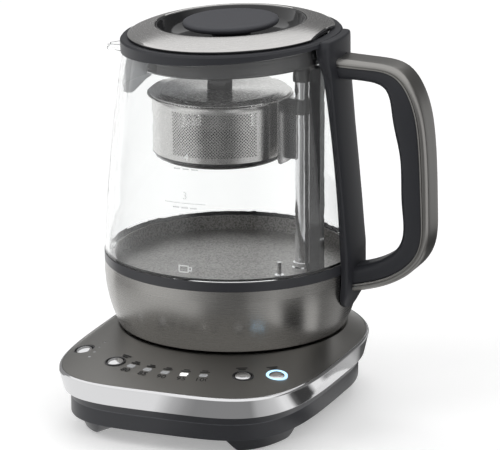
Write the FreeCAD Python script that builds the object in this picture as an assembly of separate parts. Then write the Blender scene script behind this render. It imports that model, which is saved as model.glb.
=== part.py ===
"""Automatic tea maker: a glass jug with a lifting tea basket on a powered base.

Units are millimetres, +Z is up.  The handle points along +X, the spout along -X
and the control panel along -Y.  The four rubber feet stand on z = 0.  Pieces are
modelled about the jug axis and exported about the middle of the whole footprint.

A profile is a list of (radius, z) points that runs out along its underside, up
its outer side and back in.  A third value bows the side that starts at that point
into an arc of that height, outwards if it is positive.
"""
import FreeCAD
import Part
import math
import os

Vec = FreeCAD.Vector
UP = Vec(0, 0, 1)
ORIGIN = Vec(0, 0, 0)
FIT_GAP = 0.1
RUNNING_GAP = 0.3
BEYOND = 200.0

# ---------------------------------------------------------------- base outline
BASE_HALF_WIDTH = 82.5
BASE_FRONT_DEPTH = 128.5
BASE_REAR_DEPTH = 88.0
FRONT_SQUARENESS = 4.0
REAR_SQUARENESS = 2.1
OUTLINE_POINTS = 40

# ------------------------------------------------- base casing (height, outline offset)
HOUSING_BOTTOM_Z = 8.5
HOUSING_SECTIONS = ((0.0, -17.0), (3.5, -12.5), (9.5, -7.0), (18.0, -1.2))
HOUSING_FLOOR = 2.5
HOUSING_WALL = 2.6
LEG_BOTTOM_Z = 1.0
LEG_SECTIONS = ((-7.5, -16.5), (0.0, -13.5), (4.5, -12.0))
LEG_RADIUS = 17.0
LEG_INSETS = {"front": (27.5, 44.5), "rear": (35.5, 42.0)}
FOOT_RADIUS = 8.5
FOOT_RECESS = 1.2
FOOT_INSETS = {"front": (31.5, 48.5), "rear": (40.5, 46.0)}
TRIM_SECTIONS = ((0.0, 0.0), (12.1, 2.8), (13.7, 1.3))
TRIM_WALL = 2.2
TRIM_LEDGE = 2.4
PLATE_EDGE_OFFSET = 0.8
PLATE_TOP_Z = 48.0
PLATE_SEAT_RADIUS = 73.5
PLATE_THICKNESS = 2.3

# --------------------------------------------------------------- control panel
BUTTON_ANGLES = {"strength": -42.4, "tea": -22.9, "warm": 25.3, "start": 37.0}
CONTROL_EDGE_CLEARANCE = 6.6
BEZEL_RADIUS = 6.7
BEZEL_WALL = 1.1
BEZEL_PROUD = 0.5
BEZEL_DEPTH = 3.0
BUTTON_CLEARANCE = 0.35
BUTTON_TRAVEL = 1.0
BUTTON_PROUD = 1.3
BUTTON_CROWN = 1.7
BUTTON_FLANGE = (1.15, 1.15)
BUTTON_STEM = (2.2, 7.0)
WINDOW_ANGLES = (-15.5, -8.7, -1.9, 5.0, 11.9)
WINDOW_SIZE = (5.2, 2.6)
WINDOW_PROUD = 0.15
LIGHT_BAR_Z = (36.0, 38.0)
LIGHT_BAR_HALF_DEPTH = 2.0
LIGHT_BAR_OVERHANG = 3.5
DOTS = ((-42.4, -14.1), (-39.2, -8.0), (-36.3, -1.7), (-33.8, 4.8))
DOT_RADIUS = 0.9
DOT_BAR_Z = (35.8, 37.8)
BOARD_Z = (29.0, 30.6)
BOARD_INSET = 12.5
BOARD_REACH = 2.0
BOARD_ANGLES = (-46.5, 41.5)
BOARD_POST_ANGLES = (-44.0, -31.0, 17.0, 32.0)
BOARD_POST_INSET = 9.5
BOARD_POST_RADIUS = 2.6
SWITCH_SIZE = (6.0, 6.0, 3.2)
SWITCH_NUB_RADIUS = 1.7

# --------------------------------------------------- power parts and connector
POWER_BOARD = ((-40.0, 40.0), (22.0, 56.0), (16.0, 17.6))
POWER_POST_MARGIN = (4.0, 4.0)
RELAY_SPANS = ((-30.0, -10.0), (30.0, 46.0))
RELAY_HEIGHT = 15.4
GLAND_Z = 19.0
GLAND_BORE = 3.6
GLAND_NECK = 5.0
GLAND_FLANGE = 5.8
GLAND_FACES = (-18.2, -15.7, -1.7, 2.0)
TURRET_RADIUS = 17.0
TURRET_FLANGE_RADIUS = 24.0
TURRET_POST = (3.5, 5.5, 1.5)
TURRET_CONTACT_WALL = (9.5, 11.5)
TURRET_RIM = (15.0, 8.0)
TURRET_FLOOR = (-4.6, -0.6)
LIVE_RING = (13.8, 14.4)
LIVE_RING_HEIGHT = 6.6
EARTH_PIN = (2.0, -8.0, 8.0)
SOCKET_RADIUS = 20.8
SOCKET_HEIGHT = 13.1
SOCKET_FLANGE = (24.5, 1.9)
SOCKET_WALLS = ((12.0, 13.3), (6.1, 7.9))
SOCKET_WALL_DROP = 1.3
SOCKET_RIM = 17.6
SOCKET_BORE = 2.4
SOCKET_ROOF = 2.0
JUG_RING = (13.3, 13.5, 0.1, 8.1)

# -------------------------------------------------------------------- jug body
JUG_RADIUS = 81.1
JUG_RAISE = 1.6
SHELL_HEIGHT = 41.2
SHELL_CURVE_HEIGHT = 34.4
SHELL_TUCK = 8.5
SHELL_BOW = 1.9
SHELL_WALL = 1.0
SHELL_FLANGE = 2.4
COVER_THICKNESS_Z = 2.0
COVER_RIM = (1.4, 5.6)
COVER_CLEARANCE = 0.4
STANDING_RING = (59.0, 3.0, 2.4)
BAND_PROUD = 0.1
BAND_HEIGHT = 6.0
BAND_WALL = 2.1
BAND_FLOOR = 1.6
BAND_CHAMFER = 0.4
SUPPORT_DEPTH = 10.9
SUPPORT_LEDGE = 6.3
SUPPORT_INNER = 8.0
SUPPORT_POST_RADIUS = 3.6
SUPPORT_POST_PLACE = 63.0
SUPPORT_POST_ANGLES = (90.0, 210.0, 330.0)
SCREW_HOLE_RADIUS = 1.5
SCREW_HOLE_DEPTH = 12.0
PAN_INSET = 5.2
PAN_BELOW_BAND = 6.1
PAN_FLOOR = 1.2
PAN_HEIGHT = 10.6
SPREADER = (54.0, 3.0)
ELEMENT_RING_RADIUS = 43.0
ELEMENT_RADIUS = 3.7
ELEMENT_SIDES = 10
ELEMENT_ANGLE = 330.0
THERMOSTAT = (11.0, 12.0, 15.0, 5.6)

# ---------------------------------------------------------------------- glass
GLASS_HEIGHT = 145.7
GLASS_WALL = 2.6
GLASS_BOW = 2.4
GLASS_INSET = 0.2
GLASS_NECK_WALL = 2.4
GLASS_SEAT_GAP = 0.2
GLASS_TOP = -2.8
GLASS_OVERRUN = 3.4
SHOULDER = 1.4

# ----------------------------------------------------------------- rim and spout
RIM_RADIUS = 62.8
RIM_WALL = 3.1
RIM_GAP = 0.15
LID_TILT = 2.6
COLLAR_WIDTH = 7.0
COLLAR_DEPTH = 9.2
COLLAR_CHAMFER = (1.0, 1.2)
COLLAR_UNDERCUT = 6.0
COLLAR_UNDERCUT_SLOPE = 2.3
HEAD_REACH = 13.8
HEAD_HALF_WIDTH = 12.0
HEAD_SPAN = (-7.4, 4.6)
HEAD_ROUNDING = 2.0
LIP_REACH = (3.7, 20.8)
LIP_ROOT = (11.0, 21.6, 12.0)
LIP_TIP = (3.4, 19.0, 14.6)
LIP_WALL = 1.8
LIP_OVERCUT = 0.6
FILTER_CLEARANCE = 0.6
FILTER_WALL = 1.0
FILTER_HEIGHT = 21.4
FILTER_HALF_ANGLE = 30.0
FILTER_TIP_SHARE = 0.25
FILTER_SLOTS = (-14.0, -7.0, 0.0, 7.0, 14.0)
FILTER_SLOT_WIDTH = 2.2
FILTER_SLOT_SPAN = (3.4, 16.4)
FILTER_SLOT_TAPER = 0.45

# ------------------------------------------------- lid (heights above its plane)
LID_RING_OVERHANG = 2.2
LID_RING_Z = (1.1, 1.7, 2.5, 7.3)
LID_RING_BOW = 0.45
LID_RING_THICKNESS = 1.1
LID_CHORD_INSET = 1.3
RECESS_RADIUS = 47.6
SKIRT_GAP = 1.3
SKIRT_DEPTH = 16.5
SKIRT_WALL = 1.9
SKIRT_RIM = (0.35, 1.0, 1.7, 2.4)
SKIRT_LIP = 1.2
RIDGE_COUNT = 3
RIDGE_FIRST = 1.7
RIDGE_PITCH = 2.9
RIDGE_HEIGHT = 0.6
SEAL_PROUD = 0.9
SEAL_SPAN = (-6.2, -2.6)
BOWL_FLOOR_RADIUS = 27.0
BOWL_DEPTH = 6.2
BOWL_BOW = 3.7
BOWL_WALL = 1.6
BOWL_LIP = (0.4, 2.1)
KNOB_RADIUS = 30.3
KNOB_FOOT_RADIUS = 13.0
KNOB_NECK = (12.0, 1.0)
KNOB_NECK_HOLLOW = 1.6
KNOB_UNDERSIDE = (20.0, 6.9)
KNOB_TOP = 11.9
KNOB_EDGE = 1.9

# ---------------------------------------------------------------- lift post
POST_X = 47.2
POST_RADIUS = 4.45
POST_WALL = 0.75
POST_BELOW_LID = 27.6
POST_FOOT = (1.65, 0.95, 2.4, 5.5)
POST_CAP = (1.25, 7.1, 0.9)
MAGNET_RADIUS = 3.3
MAGNET_MARGIN = 0.8
RAIL_DEPTH = 7.0
RAIL_HALF_WIDTH = 4.0
RAIL_BELOW_LID = 17.6
PROBE_PLACE = (40.2, -21.9)
PROBE = (1.3, 10.6)
PROBE_COLLAR = (3.0, 2.4)

# -------------------------------------------------------------------- basket
BASKET_X = -8.0
BASKET_RADIUS = 42.5
BASKET_WALL = 0.6
BASKET_DRAFT = 0.4
BASKET_RIM = (3.3, 0.6)
BASKET_BELOW_LID = 39.0
BASKET_WALL_HEIGHT = 36.4
BASKET_RIM_HEIGHT = 2.0
BASKET_BASE_DEPTH = 4.7
BASKET_BASE_FLAT = 24.0
BASKET_BASE_KNEE = 37.6
BASKET_BASE_BOW = 1.0
BASKET_BASE_DISH = 0.7
BASKET_BASE_WALL = 2.0
MESH_WINDOW_ANGLES = (-73.5, 46.5, 166.5)
MESH_COLUMNS = 7
MESH_ROWS = 4
MESH_PITCH_ANGLE = 11.0
MESH_PITCH_Z = 7.2
MESH_FIRST = 6.2
MESH_HOLE = 4.6
SLIDER_WALL = 1.4
SLIDER_CLEARANCE = 0.05
SLIDER_HEIGHT = 9.6
SLIDER_RISE = 0.2
ARM_HALF_WIDTH = 3.2
ARM_HEIGHT = 6.0
ARM_DROP = 2.8
BRACKET_HALF_WIDTH = 5.0
BRACKET_DEPTH = 1.3
BRACKET_HEIGHT = 31.0
BASKET_LID_RADIUS = 44.6
BASKET_LID_WALL = 0.8
BASKET_LID_FLAT = 37.0
BASKET_LID_RISE = 1.0
BASKET_KNOB_RADIUS = 7.9
BASKET_KNOB_HEIGHT = 7.2
BASKET_KNOB_CROWN = 1.3

# -------------------------------------------------------------------- handle
SPINE_DEPTHS = ((13.0, 0.2), (18.4, 3.6), (32.4, 4.4), (53.4, 6.1), (80.4, 7.2), (110.4, 8.0),
                (181.7, 8.1))
SPINE_STATIONS = 14
SPINE_HALF_WIDTH = 12.0
SPINE_ROOT_INSET = 21.0
SPINE_CLEARANCE = 0.3
HANDLE_OUTER = ((-11.1, -9.1), (14.5, -11.2), (34.1, -15.0), (47.6, -40.6), (53.9, -93.6),
                (46.7, 19.9), (32.5, 8.3), (-3.1, -8.3))
HANDLE_INNER = ((-11.1, -22.6), (10.9, -22.4), (22.7, -25.4), (29.5, -43.6), (36.7, -93.2),
                (34.1, 18.7), (25.1, 11.9), (-6.1, 1.1))
HANDLE_UPPER_POINTS = 5
HANDLE_STATIONS = 26
COVER_THICKNESS = 5.0
COVER_HALF_WIDTH = 11.2
GRIP_HALF_WIDTH = 10.4
HANDLE_ROUNDING = 3.0
SPINE_ROUNDING = 2.5
SEAM_GAP = 0.15

# ---------------------------------------------------------------- derived heights
HOUSING_TOP_Z = HOUSING_BOTTOM_Z + HOUSING_SECTIONS[-1][0]
TRIM_TOP_Z = HOUSING_TOP_Z + TRIM_SECTIONS[-1][0]
LEDGE_Z = TRIM_TOP_Z - TRIM_LEDGE
SHELL_FOOT_Z = PLATE_TOP_Z + JUG_RAISE
COVER_Z = SHELL_FOOT_Z + RUNNING_GAP
BAND_Z = SHELL_FOOT_Z + SHELL_HEIGHT + FIT_GAP
GLASS_FOOT_Z = BAND_Z + BAND_HEIGHT + GLASS_SEAT_GAP
PAN_RADIUS = JUG_RADIUS - PAN_INSET
PAN_BOTTOM_Z = BAND_Z - PAN_BELOW_BAND
PAN_FLOOR_Z = PAN_BOTTOM_Z + PAN_FLOOR
LID_PLANE_Z = BAND_Z + GLASS_HEIGHT
POST_TOP_Z = LID_PLANE_Z - POST_BELOW_LID
SLIDER_RADIUS = POST_RADIUS + SLIDER_CLEARANCE + SLIDER_WALL
BASKET_RIM_Z = LID_PLANE_Z - BASKET_BELOW_LID
BASKET_WALL_Z = BASKET_RIM_Z - BASKET_WALL_HEIGHT


def lathe(points, x=0.0, y=0.0):
    """Solid of revolution of a closed profile about a vertical axis."""
    corners = [Vec(x + point[0], y, point[1]) for point in points]
    sides = []
    for point, start, end in zip(points, corners, corners[1:] + corners[:1]):
        if len(point) == 2:
            sides.append(Part.makeLine(start, end))
        else:
            outwards = Vec(0, 1, 0).cross(end - start).normalize()
            middle = (start + end) * 0.5 + outwards * point[2]
            sides.append(Part.Arc(start, middle, end).toShape())
    return Part.Face(Part.Wire(sides)).revolve(Vec(x, y, 0), UP, 360)


def crown_bow(radius, rise):
    """Bow that turns a side from a rim to the axis into part of a sphere."""
    chord = math.hypot(radius, rise)
    sphere = chord ** 2 / (2 * rise)
    return sphere - math.sqrt(sphere ** 2 - chord ** 2 / 4)


def tube(outer, inner, low, high, x=0.0, y=0.0):
    """Round tube between two heights."""
    return lathe(((inner, low), (outer, low), (outer, high), (inner, high)), x, y)


def rod(radius, low, high, x=0.0, y=0.0):
    """Round bar between two heights."""
    return Part.makeCylinder(radius, high - low, Vec(x, y, low))


def block(x_span, y_span, z_span):
    """Rectangular block from its three spans."""
    size = [span[1] - span[0] for span in (x_span, y_span, z_span)]
    return Part.makeBox(*size, Vec(x_span[0], y_span[0], z_span[0]))


def arc_place(radius, angle_deg, z=0.0):
    """Point at a distance from the jug axis; the angle runs from -Y towards +X."""
    angle = math.radians(angle_deg)
    return Vec(radius * math.sin(angle), -radius * math.cos(angle), z)


def sector(radii, angles, heights):
    """Part of a flat ring between two angles from -Y towards +X."""
    ring = tube(radii[1], radii[0], *heights)
    rays = (angles[0], sum(angles) / 2, angles[1])
    corners = [Vec(0, 0, heights[0])] + [arc_place(2 * radii[1], ray, heights[0]) for ray in rays]
    wedge = Part.Face(Part.makePolygon(corners + corners[:1]))
    return ring.common(wedge.extrude(Vec(0, 0, heights[1] - heights[0])))


def outline_radius(angle, offset):
    """Distance from the jug axis to the base outline in one direction."""
    cosine, sine = abs(math.cos(angle)), abs(math.sin(angle))
    front = math.sin(angle) < 0
    depth = (BASE_FRONT_DEPTH if front else BASE_REAR_DEPTH) + offset
    power = FRONT_SQUARENESS if front else REAR_SQUARENESS
    width = BASE_HALF_WIDTH + offset
    return ((cosine / width) ** power + (sine / depth) ** power) ** (-1 / power)


def closed_curve(radius_at, z):
    """Smooth closed wire whose radius is a function of direction."""
    curve = Part.BSplineCurve()
    points = []
    for step in range(OUTLINE_POINTS):
        angle = 2 * math.pi * step / OUTLINE_POINTS
        radius = radius_at(angle)
        points.append(Vec(radius * math.cos(angle), radius * math.sin(angle), z))
    curve.interpolate(points, PeriodicFlag=True)
    return Part.Wire(curve.toShape())


def outline(offset, z):
    """Base outline grown by an offset at one height."""
    return closed_curve(lambda angle: outline_radius(angle, offset), z)


def stack(sections, low=0.0):
    """Ruled solid through sections of the base outline, given as (height, offset)."""
    return Part.makeLoft([outline(offset, low + height) for height, offset in sections], True, True)


def corner_places(insets):
    """Four named places, each set in from the widest and deepest line of the base."""
    places = {}
    for end, depth in (("front", -BASE_FRONT_DEPTH), ("rear", BASE_REAR_DEPTH)):
        across, along = insets[end]
        x = BASE_HALF_WIDTH - across
        y = depth + (along if depth < 0 else -along)
        places[end + "_left"] = (-x, y)
        places[end + "_right"] = (x, y)
    return places


def interpolate(table, key):
    """Value at a key, on straight lines between the rows of a (key, value) table."""
    for (low, first), (high, last) in zip(table, table[1:]):
        if key <= high:
            return first + (last - first) * (key - low) / (high - low)
    return table[-1][1]


def control_radius():
    """Radius of the arc of controls, which clears the trim beside the outermost button."""
    room = min(outline_radius(math.radians(angle - 90), PLATE_EDGE_OFFSET)
               for angle in BUTTON_ANGLES.values())
    return room - BEZEL_RADIUS - CONTROL_EDGE_CLEARANCE


def panel_point(angle_deg, beyond=0.0):
    """Point on the sloping plate, on or beyond the arc of controls, and its normal."""
    radius = control_radius() + beyond
    edge = outline_radius(math.radians(angle_deg - 90), PLATE_EDGE_OFFSET)
    drop = (PLATE_TOP_Z - TRIM_TOP_Z) / (edge - PLATE_SEAT_RADIUS)
    point = arc_place(radius, angle_deg, PLATE_TOP_Z - drop * (radius - PLATE_SEAT_RADIUS))
    normal = arc_place(drop, angle_deg, 1.0)
    return point, normal.normalize()


def on_panel(shape, angle_deg):
    """Move a shape modelled about the origin onto the panel."""
    point, normal = panel_point(angle_deg)
    placed = shape.copy()
    placed.Placement = FreeCAD.Placement(point, FreeCAD.Rotation(UP, normal))
    return placed


def on_lid_plane(shape):
    """Tilt a shape modelled on z = 0 onto the lid plane."""
    placed = shape.copy()
    rotation = FreeCAD.Rotation(Vec(0, 1, 0), -LID_TILT)
    placed.Placement = FreeCAD.Placement(Vec(0, 0, LID_PLANE_Z), rotation)
    return placed


def make_casing():
    """Housing with its legs and board posts, rubber feet, trim and gland."""
    nodes = {}
    floor_height = HOUSING_FLOOR
    heights = [floor_height] + [height for height, _ in HOUSING_SECTIONS if height > floor_height]
    inside = [(height, interpolate(HOUSING_SECTIONS, height) - HOUSING_WALL) for height in heights]
    inside[-1] = (inside[-1][0] + FIT_GAP, inside[-1][1])
    hollow = stack(inside, HOUSING_BOTTOM_Z)
    housing = stack(HOUSING_SECTIONS, HOUSING_BOTTOM_Z)
    legs = stack(LEG_SECTIONS, HOUSING_BOTTOM_Z)
    for x, y in corner_places(LEG_INSETS).values():
        top = HOUSING_BOTTOM_Z + LEG_SECTIONS[-1][0]
        housing = housing.fuse(legs.common(rod(LEG_RADIUS, LEG_BOTTOM_Z, top, x, y)))
    housing = housing.cut(hollow)

    post_foot_z = HOUSING_BOTTOM_Z + HOUSING_FLOOR - 1
    for angle in BOARD_POST_ANGLES:
        place = arc_place(control_radius() - BOARD_POST_INSET, angle)
        housing = housing.fuse(rod(BOARD_POST_RADIUS, post_foot_z, BOARD_Z[0], place.x, place.y))
    x_span, y_span, z_span = POWER_BOARD
    for x in (x_span[0] + POWER_POST_MARGIN[0], x_span[1] - POWER_POST_MARGIN[0]):
        for y in (y_span[0] + POWER_POST_MARGIN[1], y_span[1] - POWER_POST_MARGIN[1]):
            housing = housing.fuse(rod(BOARD_POST_RADIUS, post_foot_z, z_span[0], x, y))
    foot_top_z = LEG_BOTTOM_Z + FOOT_RECESS
    for name, (x, y) in corner_places(FOOT_INSETS).items():
        housing = housing.cut(rod(FOOT_RADIUS + FIT_GAP, 0, foot_top_z, x, y))
        nodes["rubber_foot_" + name] = rod(FOOT_RADIUS, 0, foot_top_z - FIT_GAP, x, y)
    gland, gland_hole = make_gland()
    nodes["base_housing"] = housing.cut(gland_hole)
    nodes["cord_gland"] = gland

    inner = ((0.0, -TRIM_WALL), (LEDGE_Z - HOUSING_TOP_Z, -TRIM_WALL))
    rebate = ((0.0, PLATE_EDGE_OFFSET + FIT_GAP), (TRIM_LEDGE + 1, PLATE_EDGE_OFFSET + FIT_GAP))
    trim = stack(TRIM_SECTIONS, HOUSING_TOP_Z).cut(stack(inner, HOUSING_TOP_Z))
    nodes["base_trim"] = trim.cut(stack(rebate, LEDGE_Z))
    return nodes


def make_gland():
    """Flanged bush through the rear wall where the mains cord enters, and its hole."""
    inner, wall, flange, tail = (BASE_REAR_DEPTH + face for face in GLAND_FACES)

    def along(radius, start, end):
        return Part.makeCylinder(radius, end - start, Vec(0, start, GLAND_Z), Vec(0, 1, 0))
    gland = along(GLAND_NECK, inner, tail).fuse(along(GLAND_FLANGE, inner, wall))
    gland = gland.fuse(along(GLAND_FLANGE, flange, tail)).cut(along(GLAND_BORE, inner, tail))
    return gland, along(GLAND_NECK + FIT_GAP, inner, tail)


def make_panel():
    """Sloping top plate with its buttons, windows, dots and the board below them."""
    nodes = {}

    def seat(radius, z):
        return closed_curve(lambda angle: radius, z)

    plate_foot_z = LEDGE_Z + FIT_GAP
    plate = Part.makeLoft([outline(PLATE_EDGE_OFFSET, plate_foot_z),
                           outline(PLATE_EDGE_OFFSET, TRIM_TOP_Z),
                           seat(PLATE_SEAT_RADIUS, PLATE_TOP_Z)], True, True)
    inset = PLATE_EDGE_OFFSET - PLATE_THICKNESS
    hollow = Part.makeLoft([outline(inset, plate_foot_z - 1),
                            outline(inset, TRIM_TOP_Z - PLATE_THICKNESS + FIT_GAP),
                            seat(PLATE_SEAT_RADIUS, PLATE_TOP_Z - PLATE_THICKNESS)], True, True)
    plate = plate.cut(hollow)
    plate = plate.cut(rod(TURRET_RADIUS + 2 * FIT_GAP, TRIM_TOP_Z, PLATE_TOP_Z + 1))
    for angle in BUTTON_ANGLES.values():
        hole = rod(BEZEL_RADIUS + FIT_GAP, -2 * BEZEL_DEPTH, 2 * BEZEL_DEPTH)
        plate = plate.cut(on_panel(hole, angle))
    windows, bar = make_windows()
    dots, dot_bar = make_dots()
    nodes["base_plate"] = plate.cut(windows(FIT_GAP)).cut(dots(FIT_GAP))
    nodes["temperature_light_guide"] = bar.fuse(windows(0.0))
    nodes["strength_light_guide"] = dot_bar.fuse(dots(0.0))

    board_radii = (control_radius() - BOARD_INSET, control_radius() + BOARD_REACH)
    nodes["control_board"] = sector(board_radii, BOARD_ANGLES, BOARD_Z)
    for name, angle in BUTTON_ANGLES.items():
        bezel = tube(BEZEL_RADIUS, BEZEL_RADIUS - BEZEL_WALL, -BEZEL_DEPTH, BEZEL_PROUD)
        nodes[name + "_bezel"] = on_panel(bezel, angle)
        nodes[name + "_button"] = on_panel(make_button(), angle)
        nodes[name + "_switch"] = make_switch(angle)
    return nodes


def make_windows():
    """Five indicator windows that rise through the plate, and the bar they share."""
    def windows(margin):
        shapes = []
        for angle in WINDOW_ANGLES:
            point, _ = panel_point(angle)
            half_long, half_short = WINDOW_SIZE[0] / 2 + margin, WINDOW_SIZE[1] / 2 + margin
            window = block((-half_long, half_long), (-half_short, half_short),
                           (LIGHT_BAR_Z[0], point.z + WINDOW_PROUD + 10 * margin))
            window.rotate(ORIGIN, UP, angle)
            window.translate(Vec(point.x, point.y, 0))
            shapes.append(window)
        return shapes[0].fuse(shapes[1:])
    radii = (control_radius() - LIGHT_BAR_HALF_DEPTH, control_radius() + LIGHT_BAR_HALF_DEPTH)
    ends = (WINDOW_ANGLES[0] - LIGHT_BAR_OVERHANG, WINDOW_ANGLES[-1] + LIGHT_BAR_OVERHANG)
    bar = sector(radii, ends, LIGHT_BAR_Z)
    for angle in (ends[0] + 1, ends[1] - 1):
        bar = bar.fuse(sector(radii, (angle - 1, angle + 1), (BOARD_Z[1], LIGHT_BAR_Z[0])))
    return windows, bar


def make_dots():
    """Four strength indicator dots, and the bar they share with its leg on the board."""
    places = [panel_point(angle, beyond)[0] for angle, beyond in DOTS]

    def dots(margin):
        shapes = []
        for place in places:
            top = place.z + WINDOW_PROUD + 10 * margin
            shapes.append(rod(DOT_RADIUS + margin, DOT_BAR_Z[0], top, place.x, place.y))
        return shapes[0].fuse(shapes[1:])
    run = places[-1] - places[0]
    length = math.hypot(run.x, run.y)
    bar = block((0, length), (-DOT_RADIUS, DOT_RADIUS), DOT_BAR_Z)
    bar.rotate(ORIGIN, UP, math.degrees(math.atan2(run.y, run.x)))
    bar.translate(Vec(places[0].x, places[0].y, 0))
    leg = rod(DOT_RADIUS, BOARD_Z[1], DOT_BAR_Z[0], places[2].x, places[2].y)
    return dots, bar.fuse(leg)


def make_button():
    """Domed cap with the flange that keeps it in and the stem that works the switch."""
    radius = BEZEL_RADIUS - BEZEL_WALL - BUTTON_CLEARANCE
    flange_reach, flange_thickness = BUTTON_FLANGE
    flange_top = -BEZEL_DEPTH - RIM_GAP
    flange_bottom = flange_top - flange_thickness
    stem_radius, stem_depth = BUTTON_STEM
    bow = crown_bow(radius, BUTTON_CROWN)
    return lathe(((0.0, -stem_depth), (stem_radius, -stem_depth), (stem_radius, flange_bottom),
                  (radius + flange_reach, flange_bottom), (radius + flange_reach, flange_top),
                  (radius, flange_top), (radius, BUTTON_PROUD - BUTTON_CROWN, bow),
                  (0.0, BUTTON_PROUD)))


def make_switch(angle_deg):
    """Small switch on the control board, just below the pressed stem of one button."""
    point, normal = panel_point(angle_deg)
    stem_radius, stem_depth = BUTTON_STEM
    tip = point - normal * (stem_depth + BUTTON_TRAVEL)
    lean = stem_radius * math.hypot(normal.x, normal.y)
    wide, deep, tall = SWITCH_SIZE
    body_top = BOARD_Z[1] + tall
    body = block((-wide / 2, wide / 2), (-deep / 2, deep / 2), (BOARD_Z[1], body_top))
    body = body.fuse(rod(SWITCH_NUB_RADIUS, body_top, tip.z - lean - FIT_GAP))
    body.rotate(ORIGIN, UP, angle_deg)
    body.translate(Vec(tip.x, tip.y, 0))
    return body


def make_power():
    """Power board with its relay, and the round connector in the middle of the plate."""
    flange_top = PLATE_TOP_Z - PLATE_THICKNESS - FIT_GAP
    flange_radius = TURRET_FLANGE_RADIUS
    low, floor = (PLATE_TOP_Z + level for level in TURRET_FLOOR)
    pin_hole, pin_wall, post_rise = TURRET_POST
    pin_bore = EARTH_PIN[0] + 2 * FIT_GAP
    rim_inner, rim_height = TURRET_RIM
    top = PLATE_TOP_Z + rim_height
    post_top = top + post_rise
    contact_inner, contact_outer = TURRET_CONTACT_WALL
    turret = lathe(((pin_bore, low), (flange_radius, low),
                    (flange_radius, flange_top), (TURRET_RADIUS, flange_top),
                    (TURRET_RADIUS, top), (rim_inner, top), (rim_inner, floor),
                    (contact_outer, floor), (contact_outer, top), (contact_inner, top),
                    (contact_inner, floor), (pin_wall, floor), (pin_wall, post_top),
                    (pin_hole, post_top), (pin_hole, floor), (pin_bore, floor)))
    ring_inner, ring_outer = LIVE_RING
    board_top = POWER_BOARD[2][1]
    return {"power_board": block(*POWER_BOARD),
            "relay": block(*RELAY_SPANS, (board_top, board_top + RELAY_HEIGHT)),
            "connector_turret": turret,
            "base_live_ring": tube(ring_outer, ring_inner, floor, floor + LIVE_RING_HEIGHT),
            "earth_pin": rod(EARTH_PIN[0], PLATE_TOP_Z + EARTH_PIN[1], PLATE_TOP_Z + EARTH_PIN[2])}


def shell_side(growth, radius):
    """Outer side of the metal shell, from its foot to where it stands upright."""
    return [(JUG_RADIUS - SHELL_TUCK + growth, SHELL_FOOT_Z, SHELL_BOW),
            (radius + growth, SHELL_FOOT_Z + SHELL_CURVE_HEIGHT)]


def glass_side(growth):
    """Outer side of the glass, from the band to above the rim."""
    return [(JUG_RADIUS - GLASS_INSET + growth, GLASS_FOOT_Z, GLASS_BOW),
            (RIM_RADIUS + RIM_WALL + growth, LID_PLANE_Z + GLASS_OVERRUN)]


def jug_radius(z):
    """Radius of the jug's outside at one height."""
    shell_top = SHELL_FOOT_Z + SHELL_CURVE_HEIGHT
    if z < shell_top:
        (low, low_z, bow), (high, high_z) = shell_side(0.0, JUG_RADIUS)
    elif z < GLASS_FOOT_Z:
        return JUG_RADIUS + BAND_PROUD
    else:
        (low, low_z, bow), (high, high_z) = glass_side(0.0)
    share = (z - low_z) / (high_z - low_z)
    return low + (high - low) * share + 4 * bow * share * (1 - share)


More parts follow.
